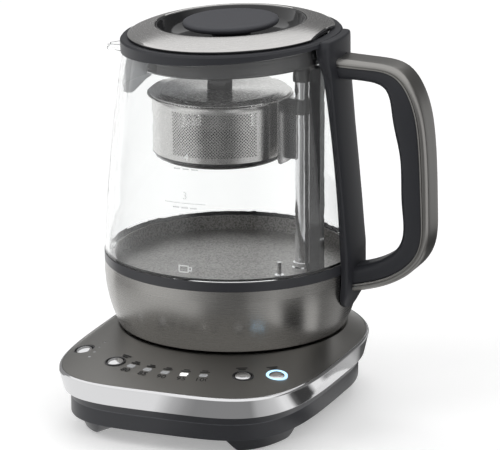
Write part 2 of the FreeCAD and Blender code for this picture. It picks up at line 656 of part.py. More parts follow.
def make_jug_foot():
    """Metal shell with its underside cover, band, pan support and heater."""
    shell_top = SHELL_FOOT_Z + SHELL_HEIGHT
    foot, shoulder = shell_side(0.0, JUG_RADIUS)
    flange_radius = foot[0] - SHELL_FLANGE
    inner_radius = JUG_RADIUS - SHELL_WALL
    shell = lathe((foot, shoulder, (JUG_RADIUS, shell_top), (inner_radius, shell_top),
                   (inner_radius, shoulder[1], -SHELL_BOW),
                   (foot[0] - SHELL_WALL, SHELL_FOOT_Z + SHELL_WALL),
                   (flange_radius, SHELL_FOOT_Z + SHELL_WALL), (flange_radius, SHELL_FOOT_Z)))

    cover_outer = flange_radius - COVER_CLEARANCE
    cover_inner = SOCKET_RADIUS + COVER_CLEARANCE
    cover_top = COVER_Z + COVER_THICKNESS_Z
    rim_wall, rim_height = COVER_RIM
    ring_radius, ring_half, ring_taper = STANDING_RING
    cover = lathe(((cover_inner, COVER_Z), (ring_radius - ring_half, COVER_Z),
                   (ring_radius - ring_taper, PLATE_TOP_Z), (ring_radius + ring_taper, PLATE_TOP_Z),
                   (ring_radius + ring_half, COVER_Z), (cover_outer, COVER_Z),
                   (cover_outer, COVER_Z + rim_height), (cover_outer - rim_wall, COVER_Z + rim_height),
                   (cover_outer - rim_wall, cover_top), (cover_inner, cover_top)))

    band_outer = JUG_RADIUS + BAND_PROUD
    band_inner = band_outer - BAND_WALL
    band_top = BAND_Z + BAND_HEIGHT
    ledge_radius = PAN_RADIUS + COVER_CLEARANCE
    band = lathe(((ledge_radius, BAND_Z), (band_outer, BAND_Z), (band_outer, band_top - BAND_CHAMFER),
                  (band_outer - BAND_CHAMFER, band_top), (band_inner, band_top),
                  (band_inner, BAND_Z + BAND_FLOOR), (ledge_radius, BAND_Z + BAND_FLOOR)))

    support_outer = inner_radius - RUNNING_GAP - 2 * FIT_GAP
    ring_low, ledge_z, ring_top = BAND_Z - SUPPORT_DEPTH, BAND_Z - SUPPORT_LEDGE, BAND_Z - 2 * FIT_GAP
    support_inner = PAN_RADIUS - SUPPORT_INNER
    support = lathe(((support_inner, ring_low), (support_outer, ring_low), (support_outer, ring_top),
                     (PAN_RADIUS + COVER_CLEARANCE, ring_top), (PAN_RADIUS + COVER_CLEARANCE, ledge_z),
                     (support_inner, ledge_z)))
    post_low = cover_top + FIT_GAP
    for angle in SUPPORT_POST_ANGLES:
        turn = math.radians(angle)
        x, y = SUPPORT_POST_PLACE * math.cos(turn), SUPPORT_POST_PLACE * math.sin(turn)
        web = block((SUPPORT_POST_PLACE, support_inner + 1),
                    (-SUPPORT_POST_RADIUS, SUPPORT_POST_RADIUS), (ring_low, ledge_z))
        web.rotate(ORIGIN, UP, angle)
        support = support.fuse(rod(SUPPORT_POST_RADIUS, post_low, ledge_z, x, y)).fuse(web)
        support = support.cut(rod(SCREW_HOLE_RADIUS, post_low, post_low + SCREW_HOLE_DEPTH, x, y))
        cover = cover.cut(rod(SCREW_HOLE_RADIUS, COVER_Z, cover_top, x, y))
    nodes = {"jug_shell": shell, "jug_cover": cover, "jug_band": band, "pan_support": support}
    nodes.update(make_heater())
    nodes.update(make_socket(cover_top))
    return nodes


def make_heater():
    """Pan that closes the glass, with the heater and thermostat below it."""
    pan_top = PAN_BOTTOM_Z + PAN_HEIGHT
    pan_inner = PAN_RADIUS - PAN_FLOOR
    pan = lathe(((0.0, PAN_BOTTOM_Z), (PAN_RADIUS, PAN_BOTTOM_Z), (PAN_RADIUS, pan_top),
                 (pan_inner, pan_top), (pan_inner, PAN_FLOOR_Z), (0.0, PAN_FLOOR_Z)))
    spreader_radius, spreader_thickness = SPREADER
    spreader_top = PAN_BOTTOM_Z - FIT_GAP
    spreader_low = spreader_top - spreader_thickness
    element_z = spreader_low - FIT_GAP - ELEMENT_RADIUS
    section = []
    for side in range(ELEMENT_SIDES):
        turn = 2 * math.pi * side / ELEMENT_SIDES
        section.append(Vec(ELEMENT_RING_RADIUS + ELEMENT_RADIUS * math.cos(turn), 0,
                           element_z + ELEMENT_RADIUS * math.sin(turn)))
    wire = Part.makePolygon(section + section[:1])
    body_radius, body_height, cap_radius, cap_height = THERMOSTAT
    cap_top = spreader_low - FIT_GAP
    cap_low = cap_top - cap_height
    thermostat = lathe(((0.0, cap_low - body_height), (body_radius, cap_low - body_height),
                        (body_radius, cap_low), (cap_radius, cap_low), (cap_radius, cap_top),
                        (0.0, cap_top)))
    return {"heating_pan": pan, "heat_spreader": rod(spreader_radius, spreader_low, spreader_top),
            "heating_element": Part.Face(wire).revolve(ORIGIN, UP, ELEMENT_ANGLE),
            "thermostat": thermostat}


def make_socket(cover_top):
    """The jug's half of the round connector, with its contact ring."""
    roof_top = COVER_Z + SOCKET_HEIGHT
    roof = roof_top - SOCKET_ROOF
    flange_radius, flange_thickness = SOCKET_FLANGE
    flange_low = cover_top + 2 * FIT_GAP
    wall_low = COVER_Z - SOCKET_WALL_DROP
    profile = [(SOCKET_BORE, roof)]
    for inner, outer in SOCKET_WALLS[::-1]:
        profile += [(inner, roof), (inner, wall_low), (outer, wall_low), (outer, roof)]
    profile += [(SOCKET_RIM, roof), (SOCKET_RIM, COVER_Z), (SOCKET_RADIUS, COVER_Z),
                (SOCKET_RADIUS, flange_low), (flange_radius, flange_low),
                (flange_radius, flange_low + flange_thickness),
                (SOCKET_RADIUS, flange_low + flange_thickness), (SOCKET_RADIUS, roof_top),
                (SOCKET_BORE, roof_top)]
    inner, outer, low, high = JUG_RING
    return {"connector_socket": lathe(profile),
            "jug_live_ring": tube(outer, inner, COVER_Z + low, COVER_Z + high)}


def glass_wall(growth):
    """Tapered wall up to the sloping rim, grown evenly on its faces."""
    outer_foot, outer_top = glass_side(growth)
    neck_outer = JUG_RADIUS + BAND_PROUD - BAND_WALL - RUNNING_GAP + growth
    neck_inner = neck_outer - GLASS_NECK_WALL - 2 * growth
    neck_low = BAND_Z + BAND_FLOOR + GLASS_SEAT_GAP
    inner_z = GLASS_FOOT_Z + SHOULDER
    shrink = GLASS_WALL + 2 * growth
    wall = lathe(((neck_inner, neck_low), (neck_outer, neck_low), (neck_outer, GLASS_FOOT_Z),
                  outer_foot, outer_top, (outer_top[0] - shrink, outer_top[1], -GLASS_BOW),
                  (outer_foot[0] - shrink, inner_z), (neck_inner, GLASS_FOOT_Z - SHOULDER)))
    above = block((-BEYOND, BEYOND), (-BEYOND, BEYOND), (GLASS_TOP + growth, BEYOND))
    return wall.cut(on_lid_plane(above))


def lip_section(x, half_width, low, high):
    """Flat-topped rounded section of the pouring lip."""
    middle = (low + high) / 2
    left, bottom, right = Vec(x, -half_width, middle), Vec(x, 0, low), Vec(x, half_width, middle)
    corners = [Vec(x, half_width, high), Vec(x, -half_width, high)]
    belly = Part.Arc(left, bottom, right).toShape()
    sides = [Part.makeLine(right, corners[0]), Part.makeLine(*corners), Part.makeLine(corners[1], left)]
    return Part.Wire([belly] + sides)


def make_glass():
    """Tapered glass wall with a pouring lip."""
    half_width, low, high = LIP_ROOT[0], LID_PLANE_Z - LIP_ROOT[1], LID_PLANE_Z - LIP_ROOT[2]
    tip_width, tip_low, tip_high = LIP_TIP[0], LID_PLANE_Z - LIP_TIP[1], LID_PLANE_Z - LIP_TIP[2]
    root_x, tip_x = (-RIM_RADIUS - reach for reach in LIP_REACH)
    lip = Part.makeLoft([lip_section(root_x + LIP_WALL, half_width + 1, low - 1, high),
                         lip_section(tip_x, tip_width, tip_low, tip_high)], True, True)
    channel = Part.makeLoft([lip_section(-RIM_RADIUS, half_width - LIP_WALL, low + LIP_WALL,
                                         high + LIP_OVERCUT),
                             lip_section(tip_x - 1, tip_width - LIP_WALL, tip_low + LIP_WALL,
                                         tip_high + LIP_OVERCUT)], True, True)
    outer_foot, outer_top = glass_side(0.0)
    bore = lathe(((0.0, GLASS_FOOT_Z), (outer_foot[0] - GLASS_WALL, GLASS_FOOT_Z, GLASS_BOW),
                  (outer_top[0] - GLASS_WALL, outer_top[1]), (0.0, outer_top[1])))
    return glass_wall(0.0).fuse(lip.cut(bore)).cut(channel)


def make_filter():
    """Curved strainer flap that hangs behind the spout, just below the collar."""
    tilt = math.radians(LID_TILT)
    top = LID_PLANE_Z - COLLAR_DEPTH * math.cos(tilt) - RIM_RADIUS * math.sin(tilt) - FIT_GAP
    inner = RIM_RADIUS + FILTER_CLEARANCE
    outer = inner + FILTER_WALL
    tip = top - FILTER_HEIGHT
    reach = outer * math.sin(math.radians(FILTER_HALF_ANGLE))
    back = -outer - 1
    corners = [Vec(back, -reach, top), Vec(back, reach, top), Vec(back, reach * FILTER_TIP_SHARE, tip),
               Vec(back, -reach * FILTER_TIP_SHARE, tip)]
    shield = Part.Face(Part.makePolygon(corners + corners[:1])).extrude(Vec(outer / 2, 0, 0))
    flap = tube(outer, inner, tip, top).common(shield)
    high, low = (top - drop for drop in FILTER_SLOT_SPAN)
    for y in FILTER_SLOTS:
        shorten = abs(y) * FILTER_SLOT_TAPER
        span = (y - FILTER_SLOT_WIDTH / 2, y + FILTER_SLOT_WIDTH / 2)
        flap = flap.cut(block((back, back / 2), span, (low + shorten, high)))
    return flap


def make_collar():
    """Collar over the glass rim with the head block that carries the handle."""
    outer = RIM_RADIUS + COLLAR_WIDTH
    chamfer_in, chamfer_down = COLLAR_CHAMFER
    ring = lathe(((RIM_RADIUS, -COLLAR_DEPTH), (outer, -COLLAR_DEPTH), (outer, -chamfer_down),
                  (outer - chamfer_in, 0.0), (RIM_RADIUS, 0.0)))
    wedge = block((-BEYOND, BEYOND), (-BEYOND, BEYOND), (-BEYOND, -COLLAR_UNDERCUT))
    wedge.rotate(Vec(0, 0, -COLLAR_UNDERCUT), Vec(0, 1, 0), -COLLAR_UNDERCUT_SLOPE)
    ring = ring.cut(wedge)
    x_span = (RIM_RADIUS - 1, RIM_RADIUS + HEAD_REACH)
    head = block(x_span, (-HEAD_HALF_WIDTH, HEAD_HALF_WIDTH), HEAD_SPAN)
    rounded = [edge for edge in head.Edges
               if edge.BoundBox.ZMin > HEAD_SPAN[1] - FIT_GAP or edge.BoundBox.XMin > x_span[1] - FIT_GAP]
    head = head.makeFillet(HEAD_ROUNDING, rounded)
    collar = ring.fuse(head).cut(rod(RIM_RADIUS, -COLLAR_DEPTH, HEAD_SPAN[1]))
    return on_lid_plane(collar).cut(glass_wall(RIM_GAP))


def make_jug_fittings():
    """Lift post with its foot and cap, guide rail and temperature probe."""
    seat_z = PAN_FLOOR_Z + FIT_GAP / 2
    foot_reach, neck_reach, foot_height, neck_height = POST_FOOT
    bore = POST_RADIUS + SLIDER_CLEARANCE
    foot = lathe(((bore, seat_z), (POST_RADIUS + foot_reach, seat_z),
                  (POST_RADIUS + foot_reach, seat_z + foot_height),
                  (POST_RADIUS + neck_reach, seat_z + foot_height + foot_reach - neck_reach),
                  (POST_RADIUS + neck_reach, seat_z + neck_height), (bore, seat_z + neck_height)),
                 POST_X)
    cap_reach, cap_height, cap_rounding = POST_CAP
    cap_radius, cap_low = POST_RADIUS + cap_reach, POST_TOP_Z + FIT_GAP
    cap = lathe(((0.0, cap_low), (cap_radius, cap_low), (cap_radius, cap_low + cap_height),
                 (cap_radius - cap_rounding, cap_low + cap_height + cap_rounding),
                 (0.0, cap_low + cap_height + cap_rounding)), POST_X)
    rail_x = POST_X + SLIDER_RADIUS + RUNNING_GAP
    rail = block((rail_x, rail_x + RAIL_DEPTH), (-RAIL_HALF_WIDTH, RAIL_HALF_WIDTH),
                 (PAN_FLOOR_Z, LID_PLANE_Z - RAIL_BELOW_LID))
    probe_radius, probe_height = PROBE
    collar_radius, collar_height = PROBE_COLLAR
    probe = rod(probe_radius, seat_z, seat_z + probe_height, *PROBE_PLACE)
    probe = probe.fuse(rod(collar_radius, seat_z, seat_z + collar_height, *PROBE_PLACE))
    return {"post_tube": tube(POST_RADIUS, POST_RADIUS - POST_WALL, PAN_FLOOR_Z, POST_TOP_Z, POST_X),
            "post_foot": foot, "post_cap": cap, "guide_rail": rail, "temperature_probe": probe}


def smooth_line(points, count):
    """Evenly spaced points on a smooth curve through a few points."""
    curve = Part.BSplineCurve()
    curve.interpolate(points)
    return curve.discretize(count)


def across(inner, outer, half_width, rounding, round_inner):
    """Section from an inner to an outer point of the handle, rounded on one side."""
    along = outer - inner
    length = along.Length
    along.normalize()
    if round_inner:
        reaches = [(length, half_width), (rounding, half_width),
                   (0.3 * rounding, half_width - 0.3 * rounding), (0.0, half_width - rounding)]
    else:
        reaches = [(0.0, half_width), (length - rounding, half_width),
                   (length - 0.3 * rounding, half_width - 0.3 * rounding),
                   (length, half_width - rounding)]
    sides = reaches + [(reach, -width) for reach, width in reaches[::-1]]
    corners = [inner + along * reach + Vec(0, width, 0) for reach, width in sides]
    return Part.makePolygon(corners + corners[:1])


def through(pairs, rounding, half_width, round_inner):
    """Solid through sections given by inner and outer points."""
    wires = [across(inner, outer, half_width, rounding, round_inner) for inner, outer in pairs]
    return Part.makeLoft(wires, True, True)


def handle_line(offsets):
    """Side of the handle: upper points hang from the lid plane, lower ones rise from the band."""
    points = []
    for index, (beyond, height) in enumerate(offsets):
        level = LID_PLANE_Z if index < HANDLE_UPPER_POINTS else BAND_Z
        points.append(Vec(JUG_RADIUS + beyond, 0, level + height))
    return smooth_line(points, HANDLE_STATIONS)


def make_handle():
    """Spine against the jug, charcoal grip and outer cover."""
    spine_pairs = []
    low, high = SPINE_DEPTHS[0][0], SPINE_DEPTHS[-1][0]
    for station in range(SPINE_STATIONS):
        height = low + (high - low) * station / (SPINE_STATIONS - 1)
        z = SHELL_FOOT_Z + height
        outer = jug_radius(z) + interpolate(SPINE_DEPTHS, height)
        spine_pairs.append((Vec(JUG_RADIUS - SPINE_ROOT_INSET, 0, z), Vec(outer, 0, z)))
    spine = through(spine_pairs, SPINE_ROUNDING, SPINE_HALF_WIDTH, False)

    shell_foot, shell_shoulder = shell_side(SPINE_CLEARANCE, JUG_RADIUS + BAND_PROUD)
    glass_foot, glass_top = glass_side(SPINE_CLEARANCE)
    below = SHELL_FOOT_Z - low
    keep_clear = lathe(((0.0, below), (shell_foot[0], below), shell_foot, shell_shoulder,
                        (shell_shoulder[0], glass_foot[1]), glass_foot, glass_top,
                        (0.0, glass_top[1])))

    behind_spine = [(inner, outer + Vec(SEAM_GAP, 0, 0)) for inner, outer in spine_pairs]
    keep_out = through(behind_spine, FIT_GAP, SPINE_HALF_WIDTH + 1, False)
    cover_pairs, grip_pairs = [], []
    for top, bottom in zip(handle_line(HANDLE_OUTER), handle_line(HANDLE_INNER)):
        down = (bottom - top).normalize()
        cover_pairs.append((top + down * COVER_THICKNESS, top))
        grip_pairs.append((bottom, top + down * (COVER_THICKNESS + SEAM_GAP)))
    cover = through(cover_pairs, HANDLE_ROUNDING, COVER_HALF_WIDTH, False)
    grip = through(grip_pairs, HANDLE_ROUNDING, GRIP_HALF_WIDTH, True)
    return {"handle_spine": spine.cut(keep_clear), "handle_cover": cover.cut(keep_out),
            "handle_grip": grip.cut(keep_out)}


def make_lid():
    """Steel ring, skirt, seal, bowl and knob of the jug lid."""
    ring_low, ring_edge, bevel_top, ring_top = LID_RING_Z
    ring_outer = RIM_RADIUS + LID_RING_OVERHANG
    flat_edge = block((RIM_RADIUS - LID_CHORD_INSET, BEYOND), (-BEYOND, BEYOND), (-1, BEYOND))
    ring = lathe(((RECESS_RADIUS, ring_top - LID_RING_THICKNESS, -LID_RING_BOW),
                  (RIM_RADIUS + FIT_GAP, ring_edge), (RIM_RADIUS + FIT_GAP, ring_low),
                  (ring_outer - FIT_GAP, ring_low), (ring_outer, ring_edge),
                  (ring_outer - LID_RING_THICKNESS, bevel_top, LID_RING_BOW),
                  (RECESS_RADIUS + 1, ring_top), (RECESS_RADIUS, ring_top))).cut(flat_edge)

    side = RIM_RADIUS - SKIRT_GAP
    inner = side - SKIRT_WALL
    rim_low, rim_step, land, land_top = SKIRT_RIM
    profile = [(inner, -SKIRT_DEPTH), (side - RIDGE_HEIGHT, -SKIRT_DEPTH)]
    for step in range(RIDGE_COUNT):
        z = RIDGE_FIRST + step * RIDGE_PITCH - SKIRT_DEPTH
        profile += [(side, z - RIDGE_HEIGHT), (side + RIDGE_HEIGHT, z), (side, z + RIDGE_HEIGHT)]
    lip = RIM_RADIUS + SKIRT_LIP
    profile += [(side, rim_low), (lip, rim_low), (lip, rim_step),
                (side, rim_step), (side, land), (inner, land_top)]
    seal = tube(side + SEAL_PROUD, side + FIT_GAP / 2, *SEAL_SPAN)

    bowl_edge = RECESS_RADIUS - 2 * FIT_GAP
    bowl = lathe(((0.0, -BOWL_DEPTH - BOWL_WALL), (BOWL_FLOOR_RADIUS, -BOWL_DEPTH - BOWL_WALL, BOWL_BOW),
                  (bowl_edge, ring_top - BOWL_LIP[1]), (bowl_edge, ring_top - BOWL_LIP[0]),
                  (bowl_edge - BOWL_WALL, ring_top - 2 * BOWL_LIP[0], -BOWL_BOW),
                  (BOWL_FLOOR_RADIUS, -BOWL_DEPTH),
                  (0.0, -BOWL_DEPTH)))
    knob_foot = FIT_GAP - BOWL_DEPTH
    knob_side = KNOB_RADIUS - KNOB_EDGE / 4
    knob = lathe(((0.0, knob_foot), (KNOB_FOOT_RADIUS, knob_foot), KNOB_NECK + (-KNOB_NECK_HOLLOW,),
                  KNOB_UNDERSIDE, (KNOB_RADIUS - KNOB_EDGE, KNOB_UNDERSIDE[1] + KNOB_EDGE / 4),
                  (KNOB_RADIUS, KNOB_UNDERSIDE[1] + KNOB_EDGE), (knob_side, KNOB_TOP - KNOB_EDGE / 2),
                  (KNOB_RADIUS - KNOB_EDGE, KNOB_TOP), (0.0, KNOB_TOP)))
    pieces = {"lid_ring": ring, "lid_skirt": lathe(profile).cut(flat_edge), "lid_seal": seal,
              "lid_bowl": bowl, "lid_knob": knob}
    return {name: on_lid_plane(piece) for name, piece in pieces.items()}


def mesh_holes(reach):
    """Diamond holes of the three windows in the basket wall."""
    half = MESH_HOLE / 2
    holes = []
    for window in MESH_WINDOW_ANGLES:
        for row in range(MESH_ROWS):
            odd = row % 2
            for column in range(MESH_COLUMNS - odd):
                place = column + 0.5 * odd - (MESH_COLUMNS - 1) / 2
                pin = block((reach - MESH_HOLE, reach + MESH_HOLE), (-half, half), (-half, half))
                pin.rotate(ORIGIN, Vec(1, 0, 0), 45)
                pin.rotate(ORIGIN, UP, window + place * MESH_PITCH_ANGLE)
                pin.translate(Vec(BASKET_X, 0, BASKET_WALL_Z + MESH_FIRST + row * MESH_PITCH_Z))
                holes.append(pin)
    return Part.makeCompound(holes)


def make_basket():
    """Tea basket with its slider, lift magnet and lid."""
    top_radius = BASKET_RADIUS + BASKET_DRAFT
    rim_reach, rim_thickness = BASKET_RIM
    wall_top = BASKET_RIM_Z - BASKET_RIM_HEIGHT
    rim_inside = BASKET_RIM_Z - rim_thickness - RUNNING_GAP
    wall = lathe(((BASKET_RADIUS - BASKET_WALL, BASKET_WALL_Z), (BASKET_RADIUS, BASKET_WALL_Z),
                  (top_radius, wall_top), (BASKET_RADIUS + rim_reach, BASKET_RIM_Z - rim_thickness),
                  (BASKET_RADIUS + rim_reach, BASKET_RIM_Z), (BASKET_RADIUS, rim_inside),
                  (top_radius - BASKET_WALL, wall_top)), BASKET_X)
    base_top = BASKET_WALL_Z - FIT_GAP
    base_low = BASKET_WALL_Z - BASKET_BASE_DEPTH
    base_inside = base_low + BASKET_BASE_WALL
    base = lathe(((0.0, base_low + BASKET_BASE_DISH), (BASKET_BASE_FLAT, base_low),
                  (BASKET_BASE_KNEE, base_low, BASKET_BASE_BOW), (BASKET_RADIUS, base_top),
                  (BASKET_RADIUS - 1, base_top), (BASKET_BASE_KNEE, base_inside),
                  (BASKET_BASE_FLAT, base_inside), (0.0, base_inside + BASKET_BASE_DISH / 2)), BASKET_X)

    slider_low = BASKET_RIM_Z + SLIDER_RISE - SLIDER_HEIGHT
    slider_span = (slider_low, slider_low + SLIDER_HEIGHT)
    arm_top = slider_span[1] - ARM_DROP
    wall_x = BASKET_X + top_radius
    arm = block((wall_x, POST_X - POST_RADIUS), (-ARM_HALF_WIDTH, ARM_HALF_WIDTH),
                (arm_top - ARM_HEIGHT, arm_top))
    bracket = block((BASKET_X + BASKET_RADIUS - 1, wall_x + BRACKET_DEPTH), (-BRACKET_HALF_WIDTH, BRACKET_HALF_WIDTH),
                    (arm_top - BRACKET_HEIGHT, arm_top))
    basket_room = rod(top_radius + FIT_GAP, base_low, slider_span[1] + 1, BASKET_X)
    post_room = rod(POST_RADIUS + 1, base_low, slider_span[1] + 1, POST_X)
    bore = POST_RADIUS + SLIDER_CLEARANCE
    slider = tube(SLIDER_RADIUS, bore, *slider_span, POST_X)
    slider = slider.fuse(arm.fuse(bracket).cut(post_room)).cut(basket_room)

    lid_low = BASKET_RIM_Z + RUNNING_GAP
    lid_flat = lid_low + BASKET_LID_RISE
    lid = lathe(((0.0, lid_flat), (BASKET_LID_FLAT, lid_flat), (BASKET_LID_RADIUS, lid_low),
                 (BASKET_LID_RADIUS, lid_low + BASKET_LID_WALL),
                 (BASKET_LID_FLAT, lid_flat + BASKET_LID_WALL), (0.0, lid_flat + BASKET_LID_WALL)),
                BASKET_X)
    knob_low = lid_flat + BASKET_LID_WALL + FIT_GAP
    knob_shoulder = knob_low + BASKET_KNOB_HEIGHT - BASKET_KNOB_CROWN
    knob = lathe(((0.0, knob_low), (BASKET_KNOB_RADIUS, knob_low),
                  (BASKET_KNOB_RADIUS, knob_shoulder, crown_bow(BASKET_KNOB_RADIUS, BASKET_KNOB_CROWN)),
                  (0.0, knob_low + BASKET_KNOB_HEIGHT)), BASKET_X)
    magnet_span = (slider_span[0] + MAGNET_MARGIN, slider_span[1] - MAGNET_MARGIN)
    magnet = rod(MAGNET_RADIUS, *magnet_span, POST_X)
    return {"basket_wall": wall.cut(mesh_holes(BASKET_RADIUS)), "basket_base": base,
            "basket_slider": slider, "lift_magnet": magnet, "basket_lid": lid, "basket_knob": knob}


def footprint_centre():
    """Middle of the footprint, from the handle to the far side of the trim."""
    bulge = max(offset for _, offset in TRIM_SECTIONS)
    reach = max(beyond for beyond, _ in HANDLE_OUTER) + JUG_RADIUS
    return Vec((reach - BASE_HALF_WIDTH - bulge) / 2, (BASE_REAR_DEPTH - BASE_FRONT_DEPTH) / 2, 0)


def main():
    os.makedirs("parts", exist_ok=True)
    nodes = {"glass_jug": make_glass(), "spout_filter": make_filter(), "jug_collar": make_collar()}
    for make in (make_casing, make_panel, make_power, make_jug_foot, make_jug_fittings, make_handle,
                 make_lid, make_basket):
        nodes.update(make())
    centre = footprint_centre()
    for name, shape in nodes.items():
        solid = shape.Solids[0].copy()
        solid.translate(-centre)
        solid.exportStep("parts/%s.step" % name)


main()
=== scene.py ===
"""Tea maker: finished pieces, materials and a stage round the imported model.

Piece sizes are millimetres in the jug's own frame: the jug axis stands at
x = y = 0, the handle points along +X and the control panel along -Y.  PLACE
carries them into the frame's metres.
"""
import math
from math import cos, pi, radians, sin, sqrt

import bmesh
import bpy
from bpy.props import FloatProperty, FloatVectorProperty, IntProperty, PointerProperty
from mathutils import Matrix, Vector


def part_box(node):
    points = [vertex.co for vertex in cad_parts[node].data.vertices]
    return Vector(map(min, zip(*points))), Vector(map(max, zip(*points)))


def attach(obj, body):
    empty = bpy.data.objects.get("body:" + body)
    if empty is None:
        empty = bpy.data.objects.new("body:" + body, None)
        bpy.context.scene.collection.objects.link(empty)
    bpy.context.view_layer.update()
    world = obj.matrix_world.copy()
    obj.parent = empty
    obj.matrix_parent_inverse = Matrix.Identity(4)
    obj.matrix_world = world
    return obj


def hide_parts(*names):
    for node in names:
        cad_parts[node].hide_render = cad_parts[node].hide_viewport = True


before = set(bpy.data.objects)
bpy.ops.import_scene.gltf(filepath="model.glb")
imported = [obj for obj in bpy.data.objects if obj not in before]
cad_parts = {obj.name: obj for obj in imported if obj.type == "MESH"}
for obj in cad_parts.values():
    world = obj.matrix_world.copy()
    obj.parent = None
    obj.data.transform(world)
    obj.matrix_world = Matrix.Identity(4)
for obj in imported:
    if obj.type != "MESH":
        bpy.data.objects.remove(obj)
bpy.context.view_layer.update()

bl_info = {
    "name": "Tea Maker",
    "version": (1, 0, 0),
    "blender": (4, 5, 0),
    "location": "View3D > Sidebar > Tea Maker",
    "description": "Builds the visible pieces, finishes and stage of a tea maker",
    "category": "Object",
}

MM = 0.001


def cad_span(node, axis):
    """Lowest and highest value of a CAD node along one axis, in millimetres."""
    low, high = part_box(node)
    return low[axis] / MM, high[axis] / MM


BAND_X, BAND_Y = cad_span("jug_band", 0), cad_span("jug_band", 1)
AXIS_X, AXIS_Y = sum(BAND_X) / 2, sum(BAND_Y) / 2
PLACE = Matrix.Scale(MM, 4) @ Matrix.Translation((AXIS_X, AXIS_Y, 0))

# ------------------------------------------------------------ heights and radii
JUG_RADIUS = 81.1
PLATE_TOP_Z = cad_span("base_plate", 2)[1]
SHELL_FOOT_Z = cad_span("jug_shell", 2)[0]
SHELL_CURVE_Z = SHELL_FOOT_Z + 34.4
SHELL_FOOT_RADIUS = 72.6
SHELL_BOW = 1.9
BAND_Z = cad_span("jug_band", 2)
BAND_PROUD = 0.1
GLASS_FOOT_Z = BAND_Z[1] + 0.2
GLASS_FOOT_RADIUS = 80.9
GLASS_TOP_RADIUS = 65.9
GLASS_BOW = 2.4
LID_PLANE_Z = BAND_Z[0] + 145.7
GLASS_TOP_Z = LID_PLANE_Z + 3.4
LID_TILT = radians(2.6)
RIM_RADIUS = 62.8
LID_CHORD_X = 61.5
RECESS_RADIUS = 47.6
POST_X = 47.2
BASKET_X = -8.0
BASKET_RADIUS = 42.5
BASKET_RIM_Z = LID_PLANE_Z - 39.0
BASKET_WALL_Z = BASKET_RIM_Z - 36.4
LID_PLACE = Matrix.Translation((0, 0, LID_PLANE_Z)) @ Matrix.Rotation(-LID_TILT, 4, "Y")

# ----------------------------------------------------------------- base outline
BASE_HALF_WIDTH = 82.5
BASE_FRONT_DEPTH = 128.5
BASE_REAR_DEPTH = 88.0
FRONT_SQUARENESS = 4.0
REAR_SQUARENESS = 2.1
TRIM_Z = cad_span("base_trim", 2)
PLATE_SEAT_RADIUS = 73.5
PLATE_EDGE_OFFSET = 0.8
OUTLINE_STEPS = 480
CONTROL_RADIUS = 103.58
BUTTON_ANGLES = {"strength": -42.4, "tea": -22.9, "warm": 25.3, "start": 37.0}
WINDOW_ANGLES = (-15.5, -8.7, -1.9, 5.0, 11.9)
WINDOW_NUMBERS = ("80", "85", "90", "95", "100")
LIT_WINDOW = 3
DOTS = ((-42.4, -14.1), (-39.2, -8.0), (-36.3, -1.7), (-33.8, 4.8))
WINDOW_LENS = (2.5, 1.9)
PANEL_INK = 0.05
# Height of a printed figure over its font size.
FIGURE_SHARE = 0.72
NUMBER_Y = -6.0
# Printed dashes: (width, height, x, y) from the middle of their window or dot.
WINDOW_DASHES = ((6.2, 1.1, 0.0, 4.4), (3.8, 1.1, 0.0, 6.4))
DOT_DASHES = ((6.0, 0.9, 7.0, 0.9), (3.6, 0.9, 5.8, -0.9))
BUTTON_DASH_Y = {"warm": 10.6, "start": 10.6, "tea": 10.0, "strength": 9.4}

# ----------------------------------------------------------------------- handle
HANDLE_OUTER = ((68.0, 228.0), (95.6, 226.9), (114.3, 223.4), (127.0, 206.5), (132.6, 180.0),
                (134.7, 132.0), (131.4, 105.5), (119.5, 91.8), (78.0, 77.1))
HANDLE_INNER = ((68.0, 214.0), (92.0, 214.2), (103.8, 211.2), (109.6, 193.0), (114.7, 168.0),
                (116.1, 138.0), (114.6, 111.0), (105.5, 102.3), (75.0, 92.0))
HANDLE_POINTS = 500
HANDLE_SECTIONS = 90
COVER_DEPTH = 5.0
COVER_HALF_WIDTH = 11.2
COVER_CORNER = 3.2
GRIP_HALF_WIDTH = 10.4
GRIP_CORNER = 4.2
HANDLE_TOP_CUT = 70.3
HANDLE_LOW_CUT = 82.5
SPINE_Z = (66.0, 238.4)
SPINE_TONGUE = 12.0
SPINE_HALF_WIDTH = (17.0, 20.2)
SPINE_GAP = 0.35
SPINE_STEPS = 89
TONGUE_TIP = 2.5
SPINE_FACE = ((66.0, 83.6), (80.0, 85.9), (105.0, 85.7), (117.0, 84.6), (133.0, 83.3), (158.0, 81.0),
              (182.0, 78.6), (209.0, 76.3), (224.0, 75.2), (240.0, 75.0))
SPINE_ROUNDING = (1.5, 3.9)
HEAD_Z = (215.0, 229.0)
COLLAR_REACH = 70.0
COLLAR_TOUCH_Z = 236.8
COLLAR_SLOPE = radians(2.3)
COLLAR_STEPS = 192


# =================================================================== properties
class TeaMakerSizes(bpy.types.PropertyGroup):
    """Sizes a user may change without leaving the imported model's shape."""
    turns: IntProperty(
        name="Round Segments", description="Segments round the jug's turned pieces",
        default=192, min=48, max=512)
    mesh_pitch: FloatProperty(
        name="Mesh Pitch", description="Distance between two holes of the basket's mesh",
        default=2.0 * MM, min=1.4 * MM, max=4.0 * MM, unit="LENGTH")
    mesh_open: FloatProperty(
        name="Mesh Opening", description="Share of a mesh cell that its hole takes",
        default=0.62, min=0.2, max=0.85, subtype="FACTOR")
    print_height: FloatProperty(
        name="Number Height", description="Height of the temperature numbers on the panel",
        default=4.6 * MM, min=1.0 * MM, max=6.0 * MM, unit="LENGTH")


def colour_property(name, description, default):
    """A colour field with its default."""
    return FloatVectorProperty(name=name, description=description, default=default,
                               subtype="COLOR", size=3, min=0.0, max=1.0)


